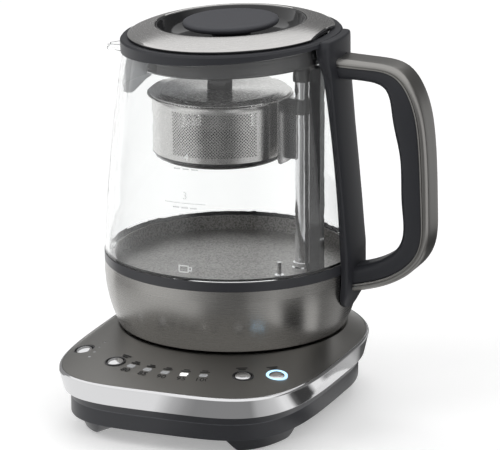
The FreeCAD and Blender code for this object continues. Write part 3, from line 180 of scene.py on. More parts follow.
class TeaMakerColours(bpy.types.PropertyGroup):
    """Base colours of the finishes."""
    charcoal: colour_property("Charcoal", "Moulded plastic of the handle and casing",
                              (0.028, 0.029, 0.034))
    gloss_black: colour_property("Gloss Black", "Glossy plastic of the lid bowl and skirt",
                                 (0.012, 0.012, 0.014))
    gunmetal: colour_property("Gunmetal", "Brushed metal of the jug foot, plate and handle",
                              (0.35, 0.342, 0.328))
    steel: colour_property("Steel", "Spun steel of the lid and basket", (0.66, 0.65, 0.64))
    polished: colour_property("Polished", "Polished metal of the trim and post",
                              (0.80, 0.80, 0.81))
    glass: colour_property("Glass", "Tint of the clear glass", (0.985, 0.992, 0.990))
    light: colour_property("Ring Light", "Light of the start ring", (0.45, 0.75, 1.0))
    print_white: colour_property("White Print", "Marks printed on the glass", (0.85, 0.86, 0.86))
    print_dark: colour_property("Dark Print", "Marks printed on the panel", (0.012, 0.012, 0.013))


class TeaMakerStage(bpy.types.PropertyGroup):
    """Camera, lamps and floor."""
    azimuth: FloatProperty(
        name="Azimuth", description="Camera angle round from the panel side to the handle",
        default=radians(22.0), subtype="ANGLE")
    elevation: FloatProperty(
        name="Elevation", description="Camera angle above the table",
        default=radians(16.25), subtype="ANGLE")
    distance: FloatProperty(
        name="Distance", description="Camera distance from the jug",
        default=2.5485, unit="LENGTH")
    lamp_power: FloatProperty(
        name="Lamp Power", description="Power of the key lamp", default=11.0, min=0.0,
        unit="POWER")
    floor: colour_property("Floor", "Colour of the table", (0.93, 0.93, 0.93))


# ================================================================= mesh helpers
def arc(first, last, bow, steps=12):
    """Points from first up to, not including, last, bowed sideways by a height."""
    (x0, y0), (x1, y1) = first, last
    length = math.hypot(x1 - x0, y1 - y0)
    across = ((y1 - y0) / length, -(x1 - x0) / length)
    points = []
    for step in range(steps):
        share = step / steps
        lift = 4 * bow * share * (1 - share)
        points.append((x0 + (x1 - x0) * share + across[0] * lift,
                       y0 + (y1 - y0) * share + across[1] * lift))
    return points


def rounded(corners, steps=4):
    """Closed profile with its corners rounded: (across, up) or (across, up, radius)."""
    points = []
    count = len(corners)
    for index, corner in enumerate(corners):
        here = Vector(corner[:2])
        radius = corner[2] if len(corner) > 2 else 0.0
        if radius <= 0:
            points.append(tuple(here))
            continue
        before = Vector(corners[index - 1][:2]) - here
        after = Vector(corners[(index + 1) % count][:2]) - here
        reach = min(radius, 0.49 * before.length, 0.49 * after.length)
        start, end = here + before.normalized() * reach, here + after.normalized() * reach
        for step in range(steps + 1):
            share = step / steps
            point = start * (1 - share) ** 2 + here * 2 * share * (1 - share) + end * share ** 2
            points.append(tuple(point))
    return points


def revolve(profile, turns, x=0.0, y=0.0):
    """Verts and faces of a profile of (radius, z) turned about an upright axis."""
    verts, faces, rows = [], [], []
    for radius, z in profile:
        if radius < 1e-6:
            rows.append([len(verts)] * turns)
            verts.append((x, y, z))
            continue
        rows.append(range(len(verts), len(verts) + turns))
        for turn in range(turns):
            angle = 2 * pi * turn / turns
            verts.append((x + radius * cos(angle), y + radius * sin(angle), z))
    for row, below in enumerate(rows):
        above = rows[(row + 1) % len(rows)]
        for turn in range(turns):
            nxt = (turn + 1) % turns
            loop = [below[turn], below[nxt], above[nxt], above[turn]]
            face = [v for place, v in enumerate(loop) if v != loop[place - 1]]
            if len(face) > 2:
                faces.append(face)
    return verts, faces


def loft(rings, wrap=False, capped=False):
    """Verts and faces through equal closed rings of points."""
    size = len(rings[0])
    verts = [tuple(point) for ring in rings for point in ring]
    faces = []
    last = len(rings) if wrap else len(rings) - 1
    for row in range(last):
        low, high = row * size, ((row + 1) % len(rings)) * size
        for place in range(size):
            nxt = (place + 1) % size
            faces.append([low + place, low + nxt, high + nxt, high + place])
    if capped:
        faces.append(list(range(size))[::-1])
        faces.append(list(range(len(verts) - size, len(verts))))
    return verts, faces


def joined(*parts):
    """Several (verts, faces) as one."""
    verts, faces = [], []
    for part_verts, part_faces in parts:
        shift = len(verts)
        verts += list(part_verts)
        faces += [[v + shift for v in face] for face in part_faces]
    return verts, faces


def moved(part, matrix):
    """The same faces with every vertex carried by a matrix."""
    verts, faces = part
    return [tuple(matrix @ Vector(v)) for v in verts], faces


def cut_flat(mesh, place, normal):
    """Cut a closed mesh with a plane, drop what lies beyond it and close the cut."""
    bm = bmesh.new()
    bm.from_mesh(mesh)
    geometry = bm.verts[:] + bm.edges[:] + bm.faces[:]
    cut = bmesh.ops.bisect_plane(bm, geom=geometry, plane_co=place, plane_no=normal,
                                 clear_outer=True)
    edges = [item for item in cut["geom_cut"] if isinstance(item, bmesh.types.BMEdge)]
    bmesh.ops.edgeloop_fill(bm, edges=edges)
    bm.to_mesh(mesh)
    bm.free()


def piece(name, part, finishes, body, replaces=(), sharp=32.0, flat_cut=None):
    """Make one finished piece from (verts, faces) in millimetres and put it on its body."""
    if not part[1]:
        raise RuntimeError("piece " + name + " has no faces")
    mesh = bpy.data.meshes.new(name)
    mesh.from_pydata(part[0], [], part[1])
    mesh.validate()
    if flat_cut:
        cut_flat(mesh, *flat_cut)
    mesh.transform(PLACE)
    bm = bmesh.new()
    bm.from_mesh(mesh)
    bmesh.ops.recalc_face_normals(bm, faces=bm.faces)
    bm.to_mesh(mesh)
    bm.free()
    mesh.shade_smooth()
    mesh.set_sharp_from_angle(angle=radians(sharp))
    for one in (finishes,) if isinstance(finishes, str) else finishes:
        mesh.materials.append(finish(one))
    item = bpy.data.objects.new(name, mesh)
    bpy.context.scene.collection.objects.link(item)
    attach(item, body)
    if replaces:
        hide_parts(*replaces)
    return item


def outline_radius(angle, offset):
    """Distance from the jug axis to the base outline in one direction."""
    cosine, sine = abs(cos(angle)), abs(sin(angle))
    front = sin(angle) < 0
    depth = (BASE_FRONT_DEPTH if front else BASE_REAR_DEPTH) + offset
    power = FRONT_SQUARENESS if front else REAR_SQUARENESS
    width = BASE_HALF_WIDTH + offset
    return ((cosine / width) ** power + (sine / depth) ** power) ** (-1 / power)


def outline_ring(level, count):
    """Ring round the base: level(angle) gives its (offset, z)."""
    ring = []
    for step in range(count):
        angle = 2 * pi * step / count
        offset, z = level(angle)
        radius = outline_radius(angle, offset)
        ring.append((radius * cos(angle), radius * sin(angle), z))
    return ring


def interpolate(table, key):
    """Value at a key, on straight lines between the rows of a (key, value) table."""
    for (low, first), (high, last) in zip(table, table[1:]):
        if key <= high:
            return first + (last - first) * (key - low) / (high - low)
    return table[-1][1]


def smoothstep(share):
    """Ease from 0 to 1."""
    share = min(max(share, 0.0), 1.0)
    return share * share * (3 - 2 * share)


def jug_radius(z):
    """Radius of the jug's outside at one height."""
    if SHELL_CURVE_Z <= z < GLASS_FOOT_Z:
        return JUG_RADIUS + BAND_PROUD
    if z < SHELL_CURVE_Z:
        low, low_z, bow = SHELL_FOOT_RADIUS, SHELL_FOOT_Z, SHELL_BOW
        high, high_z = JUG_RADIUS, SHELL_CURVE_Z
    else:
        low, low_z, bow = GLASS_FOOT_RADIUS, GLASS_FOOT_Z, GLASS_BOW
        high, high_z = GLASS_TOP_RADIUS, GLASS_TOP_Z
    share = (z - low_z) / (high_z - low_z)
    return low + (high - low) * share + 4 * bow * share * (1 - share)


SPAN_STEPS = 40


def spline(points, count):
    """Evenly spaced points on a smooth curve through a few (x, z) points."""
    knots = [0.0]
    for first, last in zip(points, points[1:]):
        knots.append(knots[-1] + math.dist(first, last))
    size = len(points)
    axes = []
    for axis in range(2):
        values = [point[axis] for point in points]
        upper, right = [0.0] * size, [0.0] * size
        for i in range(1, size - 1):
            before, after = knots[i] - knots[i - 1], knots[i + 1] - knots[i]
            bend = 6 * ((values[i + 1] - values[i]) / after - (values[i] - values[i - 1]) / before)
            pivot = 2 * (before + after) - before * upper[i - 1]
            upper[i] = after / pivot
            right[i] = (bend - before * right[i - 1]) / pivot
        second = [0.0] * size
        for i in range(size - 2, 0, -1):
            second[i] = right[i] - upper[i] * second[i + 1]
        axes.append((values, second))
    fine = []
    for i in range(size - 1):
        span = knots[i + 1] - knots[i]
        for step in range(SPAN_STEPS):
            share = step / SPAN_STEPS
            fine.append(tuple(
                values[i] * (1 - share) + values[i + 1] * share
                - span ** 2 / 6 * share * (1 - share)
                * ((2 - share) * second[i] + (1 + share) * second[i + 1])
                for values, second in axes))
    fine.append(tuple(points[-1]))
    return evenly(fine, count)


def evenly(line, count):
    """The same polyline with evenly spaced points."""
    lengths = [0.0]
    for first, last in zip(line, line[1:]):
        lengths.append(lengths[-1] + math.dist(first, last))
    points, index = [], 0
    for step in range(count):
        want = lengths[-1] * step / (count - 1)
        while index < len(line) - 2 and lengths[index + 1] < want:
            index += 1
        share = (want - lengths[index]) / max(lengths[index + 1] - lengths[index], 1e-9)
        points.append(tuple(a + (b - a) * share for a, b in zip(line[index], line[index + 1])))
    return points


# ==================================================================== materials
class Sheet:
    """Lays out the nodes of one material or node group."""

    def __init__(self, tree):
        self.tree = tree

    def feed(self, socket, value):
        """Link a socket to a socket, or set its own value."""
        if isinstance(value, bpy.types.NodeSocket):
            self.tree.links.new(value, socket)
        elif socket.type == "RGBA":
            socket.default_value = tuple(value)[:3] + (1.0,)
        else:
            socket.default_value = value

    def add(self, kind, inputs=(), **settings):
        """Add a node with its settings and inputs."""
        node = self.tree.nodes.new(kind)
        for name, value in settings.items():
            setattr(node, name, value)
        for name, value in dict(inputs).items():
            self.feed(node.inputs[name], value)
        return node

    def math(self, operation, first, second=0.0):
        """One arithmetic step."""
        node = self.add("ShaderNodeMath", operation=operation)
        self.feed(node.inputs[0], first)
        self.feed(node.inputs[1], second)
        return node.outputs[0]

    def place(self):
        """Where a point of the object lies."""
        return self.add("ShaderNodeTexCoord").outputs["Object"]

    def noise(self, place, scale, detail, roughness=0.5):
        """Noise value at a place."""
        return self.add("ShaderNodeTexNoise", {"Vector": place, "Scale": scale, "Detail": detail,
                                               "Roughness": roughness}).outputs["Fac"]

    def mix(self, share, first, second):
        """One colour turning into another."""
        node = self.add("ShaderNodeMix", data_type="RGBA")
        self.feed(node.inputs[0], share)
        self.feed(node.inputs[6], first)
        self.feed(node.inputs[7], second)
        return node.outputs[2]

    def tone(self, colour, amount, strength):
        """A colour made darker and lighter by a varying amount about one half."""
        centred = self.math("SUBTRACT", amount, 0.5)
        gain = self.math("ADD", self.math("MULTIPLY", centred, strength), 1.0)
        node = self.add("ShaderNodeVectorMath", operation="SCALE")
        self.feed(node.inputs[0], colour)
        self.feed(node.inputs["Scale"], gain)
        return node.outputs[0]


# Kinds of the group sockets that aren't plain numbers.
SOCKET_KINDS = {
    "Colour": "NodeSocketColor", "Worn Colour": "NodeSocketColor", "Speck Colour": "NodeSocketColor",
    "Stretch": "NodeSocketVector",
}


def group_sheet(name, inputs, outputs):
    """Empty shader group with named sockets, its input node, output node and sheet."""
    tree = bpy.data.node_groups.new(name, "ShaderNodeTree")
    for sockets, in_out in ((inputs, "INPUT"), (outputs, "OUTPUT")):
        for socket in sockets:
            tree.interface.new_socket(name=socket, in_out=in_out,
                                      socket_type=SOCKET_KINDS.get(socket, "NodeSocketFloat"))
    sheet = Sheet(tree)
    return tree, sheet, sheet.add("NodeGroupInput").outputs, sheet.add("NodeGroupOutput").inputs


def spun_noise(sheet, given):
    """Fine lines that run round an upright axis."""
    split = sheet.add("ShaderNodeSeparateXYZ", {"Vector": sheet.place()}).outputs
    across = sheet.math("SUBTRACT", split["X"], given["Axis X"])
    along = sheet.math("SUBTRACT", split["Y"], given["Axis Y"])
    radius = sheet.math("SQRT", sheet.math("ADD", sheet.math("MULTIPLY", across, across),
                                           sheet.math("MULTIPLY", along, along)))
    turn = sheet.math("ARCTAN2", along, across)
    ring = sheet.add("ShaderNodeCombineXYZ", {
        "X": sheet.math("MULTIPLY", radius, LINES_PER_METRE),
        "Y": sheet.math("MULTIPLY", turn, CHANGES_PER_RADIAN),
        "Z": sheet.math("MULTIPLY", split["Z"], LINES_PER_METRE)}).outputs[0]
    return sheet.noise(ring, scale=1.0, detail=4.0, roughness=0.65)


def straight_noise(sheet, given):
    """Fine lines along one direction, set by how far the noise is stretched."""
    stretched = sheet.add("ShaderNodeVectorMath", operation="MULTIPLY")
    sheet.feed(stretched.inputs[0], sheet.place())
    sheet.feed(stretched.inputs[1], given["Stretch"])
    return sheet.noise(stretched.outputs[0], scale=1.0, detail=4.0, roughness=0.65)


def grain_noise(sheet, given):
    """Fine even grain of moulded, cast or blasted surfaces."""
    return sheet.noise(sheet.place(), given["Grains per Metre"], detail=3.0, roughness=0.6)


def grain_group(name, extra, noise, tone):
    """Colour, roughness and height of a brushed or grained surface from one noise."""
    tree, sheet, given, out = group_sheet(name, ("Colour", "Roughness", "Variation") + extra,
                                          ("Colour", "Roughness", "Height"))
    line = noise(sheet, given)
    sheet.feed(out["Colour"], sheet.tone(given["Colour"], line, tone))
    change = sheet.math("MULTIPLY", sheet.math("SUBTRACT", line, 0.5), given["Variation"])
    sheet.feed(out["Roughness"], sheet.math("ADD", given["Roughness"], change))
    sheet.feed(out["Height"], line)
    return tree


def edge_wear_group(name):
    """Colour that turns to a worn one along the outer edges."""
    tree, sheet, given, out = group_sheet(name, ("Colour", "Worn Colour", "Amount"), ("Colour",))
    soft = sheet.add("ShaderNodeBevel", {"Radius": EDGE_REACH}, samples=4).outputs[0]
    true = sheet.add("ShaderNodeNewGeometry").outputs["Normal"]
    dot = sheet.add("ShaderNodeVectorMath", operation="DOT_PRODUCT")
    sheet.feed(dot.inputs[0], soft)
    sheet.feed(dot.inputs[1], true)
    edge = sheet.math("MULTIPLY", sheet.math("SUBTRACT", 1.0, dot.outputs["Value"]), EDGE_GAIN)
    patch = sheet.noise(sheet.place(), scale=180.0, detail=2.0)
    share = sheet.math("MULTIPLY", sheet.math("MULTIPLY", edge, patch), given["Amount"])
    sheet.feed(out["Colour"], sheet.mix(sheet.math("MINIMUM", share, 1.0), given["Colour"],
                                        given["Worn Colour"]))
    return tree


def smudge_group(name):
    """Roughness that drifts a little, as on handled gloss surfaces."""
    tree, sheet, given, out = group_sheet(name, ("Roughness", "Variation"), ("Roughness",))
    drift = sheet.noise(sheet.place(), scale=28.0, detail=3.0)
    sheet.feed(out["Roughness"], sheet.math("ADD", given["Roughness"],
                                            sheet.math("MULTIPLY", drift, given["Variation"])))
    return tree


def speckle_group(name):
    """Small dark and light specks of wetted or etched metal."""
    tree, sheet, given, out = group_sheet(
        name, ("Colour", "Speck Colour", "Specks per Metre"), ("Colour", "Height"))
    noise = sheet.noise(sheet.place(), given["Specks per Metre"], detail=2.0, roughness=0.7)
    sharp = sheet.add("ShaderNodeMapRange", {"Value": noise, "From Min": 0.42, "From Max": 0.62})
    sheet.feed(out["Colour"], sheet.mix(sharp.outputs[0], given["Colour"], given["Speck Colour"]))
    sheet.feed(out["Height"], noise)
    return tree


LINES_PER_METRE = 2600.0
CHANGES_PER_RADIAN = 5.0
EDGE_REACH = 0.0006
EDGE_GAIN = 6.0
GROUPS = {
    "Spun Brush": lambda name: grain_group(name, ("Axis X", "Axis Y"), spun_noise, 0.35),
    "Straight Brush": lambda name: grain_group(name, ("Stretch",), straight_noise, 0.3),
    "Moulded Grain": lambda name: grain_group(name, ("Grains per Metre",), grain_noise, 0.25),
    "Edge Wear": edge_wear_group, "Smudges": smudge_group, "Speckle": speckle_group,
}


def placed_group(sheet, name, inputs):
    """One of the shared groups inside a material; it's built the first time it's used."""
    tree = bpy.data.node_groups.get(name) or GROUPS[name](name)
    return sheet.add("ShaderNodeGroup", inputs, node_tree=tree).outputs


def surface(name, principled):
    """New material, its sheet and its shader, with the shader's own values set."""
    material = bpy.data.materials.new(name)
    material.use_nodes = True
    sheet = Sheet(material.node_tree)
    shader = material.node_tree.nodes["Principled BSDF"]
    for socket, value in principled.items():
        sheet.feed(shader.inputs[socket], value)
    return material, sheet, shader


def bumped(sheet, shader, height, distance):
    """Feed a height that varies over the surface to the shader's normal."""
    bump = sheet.add("ShaderNodeBump", {"Height": height, "Strength": 0.6, "Distance": distance})
    sheet.feed(shader.inputs["Normal"], bump.outputs[0])


def grained(name, principled, group, colour, roughness, variation, extra, depth=0.0):
    """Material with colour, roughness and relief from one of the grain groups."""
    material, sheet, shader = surface(name, principled)
    made = placed_group(sheet, group, {
        "Colour": colour, "Roughness": roughness, "Variation": variation, **extra})
    sheet.feed(shader.inputs["Base Color"], made["Colour"])
    sheet.feed(shader.inputs["Roughness"], made["Roughness"])
    if depth:
        bumped(sheet, shader, made["Height"], depth)
    return material, sheet, shader, made


def metal(name, colour, roughness, brush, extra, anisotropy=0.0, depth=0.00002):
    """Metal with spun, straight or blasted texture."""
    material, sheet, shader, _ = grained(name, {"Metallic": 1.0}, brush, colour, roughness,
                                         variation=0.12, extra=extra, depth=depth)
    if anisotropy:
        sheet.feed(shader.inputs["Anisotropic"], anisotropy)
        sheet.feed(shader.inputs["Anisotropic Rotation"], 0.25)
        tangent = sheet.add("ShaderNodeTangent", direction_type="RADIAL", axis="Z")
        sheet.feed(shader.inputs["Tangent"], tangent.outputs[0])
    return material


def spun(name, colour, roughness, anisotropy=0.0, axis_x=0.0):
    """Metal brushed round the jug's axis or one beside it."""
    axis = {"Axis X": (AXIS_X + axis_x) * MM, "Axis Y": AXIS_Y * MM}
    return metal(name, colour, roughness, "Spun Brush", axis, anisotropy)


def plastic(name, colour, roughness, variation=0.1, grains=1500.0, depth=0.00003, wear=0.0, coat=0.0,
            specular=0.5):
    """Moulded plastic with fine grain and a little wear along its edges."""
    material, sheet, shader, made = grained(
        name, {"Specular IOR Level": specular}, "Moulded Grain", colour, roughness, variation,
        {"Grains per Metre": grains}, depth)
    if wear:
        worn = tuple(min(1.0, 2.2 * part + 0.02) for part in colour)
        sheet.feed(shader.inputs["Base Color"], placed_group(sheet, "Edge Wear", {
            "Colour": made["Colour"], "Worn Colour": worn, "Amount": wear})["Colour"])
    if coat:
        sheet.feed(shader.inputs["Coat Weight"], coat)
        sheet.feed(shader.inputs["Coat Roughness"], 0.08)
    return material


def lamp_plastic(name, colour, strength):
    """Plastic that glows."""
    material, sheet, shader, made = grained(
        name, {"Emission Strength": strength}, "Moulded Grain", colour, roughness=0.35,
        variation=0.05, extra={"Grains per Metre": 900.0})
    sheet.feed(shader.inputs["Emission Color"], made["Colour"])
    return material


def printed(name, colour):
    """Ink with a little unevenness."""
    return grained(name, {}, "Moulded Grain", colour, roughness=0.5, variation=0.1,
                   extra={"Grains per Metre": 2500.0})[0]


def smudged(name, principled, roughness, variation):
    """Smooth material with faint smudges."""
    material, sheet, shader = surface(name, principled)
    made = placed_group(sheet, "Smudges", {"Roughness": roughness, "Variation": variation})
    sheet.feed(shader.inputs["Roughness"], made["Roughness"])
    return material, sheet, shader


def clear(name, colour, roughness, index, transmission=1.0):
    """Clear glass or plastic."""
    return smudged(name, {"Base Color": colour, "IOR": index, "Transmission Weight": transmission},
                   roughness, variation=0.02)[0]


def gloss_metal(name, colour, roughness=0.05):
    """Polished metal."""
    return smudged(name, {"Metallic": 1.0, "Base Color": colour}, roughness, variation=0.06)[0]


def pan_metal(name, colour, specks):
    """Dull metal with etched specks."""
    material, sheet, shader = smudged(name, {"Metallic": 1.0}, roughness=0.22, variation=0.25)
    made = placed_group(sheet, "Speckle", {
        "Colour": colour, "Speck Colour": tuple(0.45 * part for part in colour),
        "Specks per Metre": specks})
    sheet.feed(shader.inputs["Base Color"], made["Colour"])
    bumped(sheet, shader, made["Height"], distance=0.00008)
    return material


FINISHES = {
    "Charcoal Plastic": lambda name, c: plastic(name, c.charcoal, 0.42, wear=0.5, specular=0.35),
    "Casing Plastic": lambda name, c: plastic(name, c.charcoal, 0.36, wear=0.4),
    # The knob's colour is the charcoal made 1.6 times lighter: painted top light, a lit copy of the
    # charcoal plastic; its roughness, grain and edge wear are its own.
    "Matt Knob": lambda name, c: plastic(name, tuple(1.6 * part for part in c.charcoal), 0.5,
                                         grains=2600.0, wear=0.8),
    "Gloss Black": lambda name, c: plastic(name, c.gloss_black, 0.12, 0.05, depth=0.000004, coat=0.6),
    "Band Plastic": lambda name, c: plastic(name, c.charcoal, 0.3, 0.06, depth=0.00001),
    "Foot Gunmetal": lambda name, c: spun(name, c.gunmetal, 0.27, 0.5),
    "Plate Gunmetal": lambda name, c: metal(name, c.gunmetal, 0.36, "Moulded Grain",
                                            {"Grains per Metre": 2200.0}, depth=0.00003),
    "Cover Gunmetal": lambda name, c: metal(name, c.gunmetal, 0.3, "Straight Brush", {
        "Stretch": (LINES_PER_METRE, LINES_PER_METRE, 40.0)}),
    "Polished Trim": lambda name, c: gloss_metal(name, c.polished, 0.07),
    "Spun Steel": lambda name, c: spun(name, c.steel, 0.26, 0.75),
    "Basket Steel": lambda name, c: spun(name, c.steel, 0.24, axis_x=BASKET_X),
    "Mirror Steel": lambda name, c: gloss_metal(name, c.steel, 0.03),
    "Pan Steel": lambda name, c: pan_metal(name, (0.36, 0.35, 0.34), 900.0),
    "Spreader Aluminium": lambda name, c: pan_metal(name, (0.6, 0.6, 0.6), 500.0),
    "Brass": lambda name, c: gloss_metal(name, (0.78, 0.55, 0.22), 0.15),
    "Rubber": lambda name, c: plastic(name, (0.012, 0.012, 0.012), 0.75, grains=900.0, specular=0.3),
    "Clear Glass": lambda name, c: clear(name, c.glass, 0.0, 1.48),
    "Smoke Plastic": lambda name, c: clear(name, (0.42, 0.43, 0.45), 0.3, 1.3, 0.7),
    "Window Plastic": lambda name, c: plastic(name, (0.52, 0.53, 0.54), 0.3, coat=0.4),
    "Lit Window": lambda name, c: lamp_plastic(name, (1.0, 1.0, 0.98), 0.9),
    "Lit Ring": lambda name, c: lamp_plastic(name, c.light, 1.1),
    "White Print": lambda name, c: printed(name, c.print_white),
    "Dark Print": lambda name, c: printed(name, c.print_dark),
    "Board": lambda name, c: plastic(name, (0.02, 0.12, 0.05), 0.4, grains=600.0),
    "Switch Plastic": lambda name, c: plastic(name, (0.03, 0.03, 0.03), 0.5),
}


def finish(name):
    """A finish by name; it's made the first time it's asked for."""
    settings = bpy.context.scene.tea_maker_colours
    return bpy.data.materials.get(name) or FINISHES[name](name, settings)


# ======================================================================== stage
VIEW_TARGET = Vector((AXIS_X, AXIS_Y, 110.5)) * MM
VIEW_ROLL = radians(-0.333)
VIEW_LENS = 289.45
VIEW_SHIFT = 0.0353
FLOOR_RADIUS = 6.0
FLOOR_SIDES = 96
FLOOR_GLOW = 0.32
WORLD_DIFFUSE = 0.55
LAMPS = (("key_lamp", 1.0, (-1.5, -1.1, 1.7), 1.3), ("fill_lamp", 0.5, (1.6, -1.3, 1.2), 1.4),
         ("top_lamp", 0.9, (-0.2, 0.7, 2.0), 1.6))
CARD_LIFT = 0.001
CARD_TOP = 1.1
CARD_REACH = 1.5
# Grey levels of the cards' zones: (degrees round from the camera, level).
NEAR_LEVELS = ((-120, 0.9), (-28, 0.85), (-24, 0.5), (-20, 0.32), (-17, 0.26), (9, 0.26),
               (13, 0.45), (25, 0.65), (31, 0.9), (35, 0.85), (39, 0.12), (43, 0.05), (55, 0.05),
               (60, 0.9), (68, 0.9), (74, 0.25), (86, 0.4), (100, 0.5), (112, 0.1), (155, 0.05))
MIDDLE_LEVELS = ((-120, 0.3), (-95, 0.4), (-84, 0.7), (-75, 1.0), (-66, 1.1), (-51, 1.05), (-30, 0.8),
                 (-14, 0.4), (-10, 0.24), (9, 0.24), (14, 0.6), (30, 0.62), (42, 0.48), (49, 0.3),
                 (56, 0.18), (72, 0.1), (92, 0.07), (155, 0.07))
FAR_LEVELS = ((-120, 1.0), (-66, 0.9), (-42, 0.8), (-36, 0.5), (-30, 0.25), (-8, 0.25), (4, 0.14),
              (20, 0.12), (34, 0.6), (48, 0.9), (72, 0.85), (86, 0.6), (98, 0.1), (108, 0.06),
              (122, 0.45), (155, 0.45))
UPPER_LEVELS = ((-120, 0.9), (-60, 0.8), (15, 0.8), (35, 0.9), (60, 0.6), (90, 0.2), (155, 0.1))
BACK_LEVELS = ((156, 0.2), (178, 0.2), (182, 0.3), (236, 0.3))
CARD_RINGS = ((0.1, CARD_LIFT, NEAR_LEVELS), (0.262, CARD_LIFT, NEAR_LEVELS),
              (0.278, CARD_LIFT, MIDDLE_LEVELS), (0.40, CARD_LIFT, MIDDLE_LEVELS),
              (0.46, CARD_LIFT, FAR_LEVELS), (CARD_REACH, CARD_LIFT, FAR_LEVELS),
              (CARD_REACH, 0.15, FAR_LEVELS), (CARD_REACH, 0.3, UPPER_LEVELS),
              (CARD_REACH, CARD_TOP, UPPER_LEVELS))


def view_rays(sheet):
    """1 for camera, glossy and transmission rays, and 0 for the rest."""
    seen = sheet.add("ShaderNodeLightPath").outputs
    return sheet.math("MAXIMUM", seen["Is Camera Ray"],
                      sheet.math("MAXIMUM", seen["Is Glossy Ray"], seen["Is Transmission Ray"]))


def table_material(colour):
    """Plain pale table, with a little more light towards the view than on the object."""
    material, sheet, shader = surface("Table", {
        "Base Color": colour, "Specular IOR Level": 0.2, "Emission Color": (1.0, 1.0, 1.0)})
    grain = placed_group(sheet, "Moulded Grain", {
        "Colour": colour, "Roughness": 0.7, "Variation": 0.02, "Grains per Metre": 40.0})
    sheet.feed(shader.inputs["Roughness"], grain["Roughness"])
    sheet.feed(shader.inputs["Emission Strength"], sheet.math("MULTIPLY", view_rays(sheet), FLOOR_GLOW))
    return material


def card_material():
    """Cards that show only after a glossy bounce, each point at its own grey level."""
    material, sheet, shader = surface("Reflector Card", {
        "Base Color": (0.0, 0.0, 0.0), "Roughness": 1.0, "Specular IOR Level": 0.0,
        "Emission Color": (1.0, 1.0, 1.0)})
    level = sheet.add("ShaderNodeAttribute", attribute_name="level").outputs["Fac"]
    sheet.feed(shader.inputs["Emission Strength"], level)
    bounces = sheet.add("ShaderNodeLightPath").outputs["Glossy Depth"]
    sheet.feed(shader.inputs["Alpha"], sheet.math("GREATER_THAN", bounces, 0.5))
    return material


def stage_object(name, verts, faces, material):
    """Floor or card in metres, which isn't part of the object."""
    mesh = bpy.data.meshes.new(name)
    mesh.from_pydata(verts, [], faces)
    mesh.materials.append(material)
    item = bpy.data.objects.new(name, mesh)
    bpy.context.scene.collection.objects.link(item)
    return item


def make_floor(settings):
    """Round table as one flat face."""
    turns = [2 * pi * turn / FLOOR_SIDES for turn in range(FLOOR_SIDES)]
    verts = [(FLOOR_RADIUS * cos(turn), FLOOR_RADIUS * sin(turn), 0.0) for turn in turns]
    stage_object("table_floor", verts, [list(range(FLOOR_SIDES))], table_material(settings.floor))


def make_card(name, rings, azimuth, material):
    """Card through rings of (reach, z, levels), left out of diffuse light and shadows."""
    angles = range(rings[0][2][0][0], rings[0][2][-1][0] + 1)
    verts, levels = [], []
    for reach, z, table in rings:
        for angle in angles:
            turn = azimuth + radians(angle)
            verts.append((VIEW_TARGET.x + reach * sin(turn), VIEW_TARGET.y - reach * cos(turn), z))
            levels.append(interpolate(table, angle))
    width = len(angles)
    corners = [row * width + step for row in range(len(rings) - 1) for step in range(width - 1)]
    faces = [[low, low + 1, low + width + 1, low + width] for low in corners]
    card = stage_object(name, verts, faces, material)
    card.data.attributes.new("level", "FLOAT", "POINT").data.foreach_set("value", levels)
    card.visible_camera = card.visible_diffuse = False
    card.visible_shadow = card.visible_volume_scatter = False
    return card


def make_cards(settings):
    """A grey card on the table in front that turns up at its far end, and one behind the object."""
    material = card_material()
    make_card("front_card", CARD_RINGS, settings.azimuth, material)
    rings = [(CARD_REACH, z, BACK_LEVELS) for z in (CARD_LIFT, CARD_TOP)]
    make_card("back_card", rings, settings.azimuth, material).visible_transmission = False


def make_world():
    """White surroundings for camera, glossy and transmission rays; softer for diffuse light."""
    world = bpy.data.worlds.new("Studio")
    world.use_nodes = True
    bpy.context.scene.world = world
    sheet = Sheet(world.node_tree)
    ground = world.node_tree.nodes["Background"].inputs
    sheet.feed(ground["Color"], (1.0, 1.0, 1.0))
    extra = sheet.math("MULTIPLY", view_rays(sheet), 1.0 - WORLD_DIFFUSE)
    sheet.feed(ground["Strength"], sheet.math("ADD", extra, WORLD_DIFFUSE))


def make_lamps(settings):
    """Soft area lamps turned to the jug, which glossy surfaces don't mirror."""
    for name, share, place, size in LAMPS:
        lamp = bpy.data.lights.new(name, "AREA")
        lamp.size = size
        lamp.energy = settings.lamp_power * share
        item = bpy.data.objects.new(name, lamp)
        item.location = place
        item.rotation_euler = (VIEW_TARGET - Vector(place)).to_track_quat("-Z", "Y").to_euler()
        item.visible_glossy = False
        bpy.context.scene.collection.objects.link(item)


def make_camera(settings):
    """Long lens at the product-picture angle."""
    turn, rise = settings.azimuth, settings.elevation
    back = Vector((sin(turn) * cos(rise), -cos(turn) * cos(rise), sin(rise)))
    right = Vector((cos(turn), sin(turn), 0))
    up = back.cross(right)
    tilted = right * cos(VIEW_ROLL) + up * sin(VIEW_ROLL)
    upright = up * cos(VIEW_ROLL) - right * sin(VIEW_ROLL)
    camera = bpy.data.cameras.new("view_camera")
    camera.lens = VIEW_LENS
    camera.shift_x = VIEW_SHIFT
    item = bpy.data.objects.new("view_camera", camera)
    basis = Matrix((tilted, upright, back)).transposed().to_4x4()
    item.matrix_world = Matrix.Translation(VIEW_TARGET + back * settings.distance) @ basis
    bpy.context.scene.collection.objects.link(item)
    bpy.context.scene.camera = item


# ======================================================================= pieces
def sizes():
    """The scene's size settings."""
    return bpy.context.scene.tea_maker_sizes


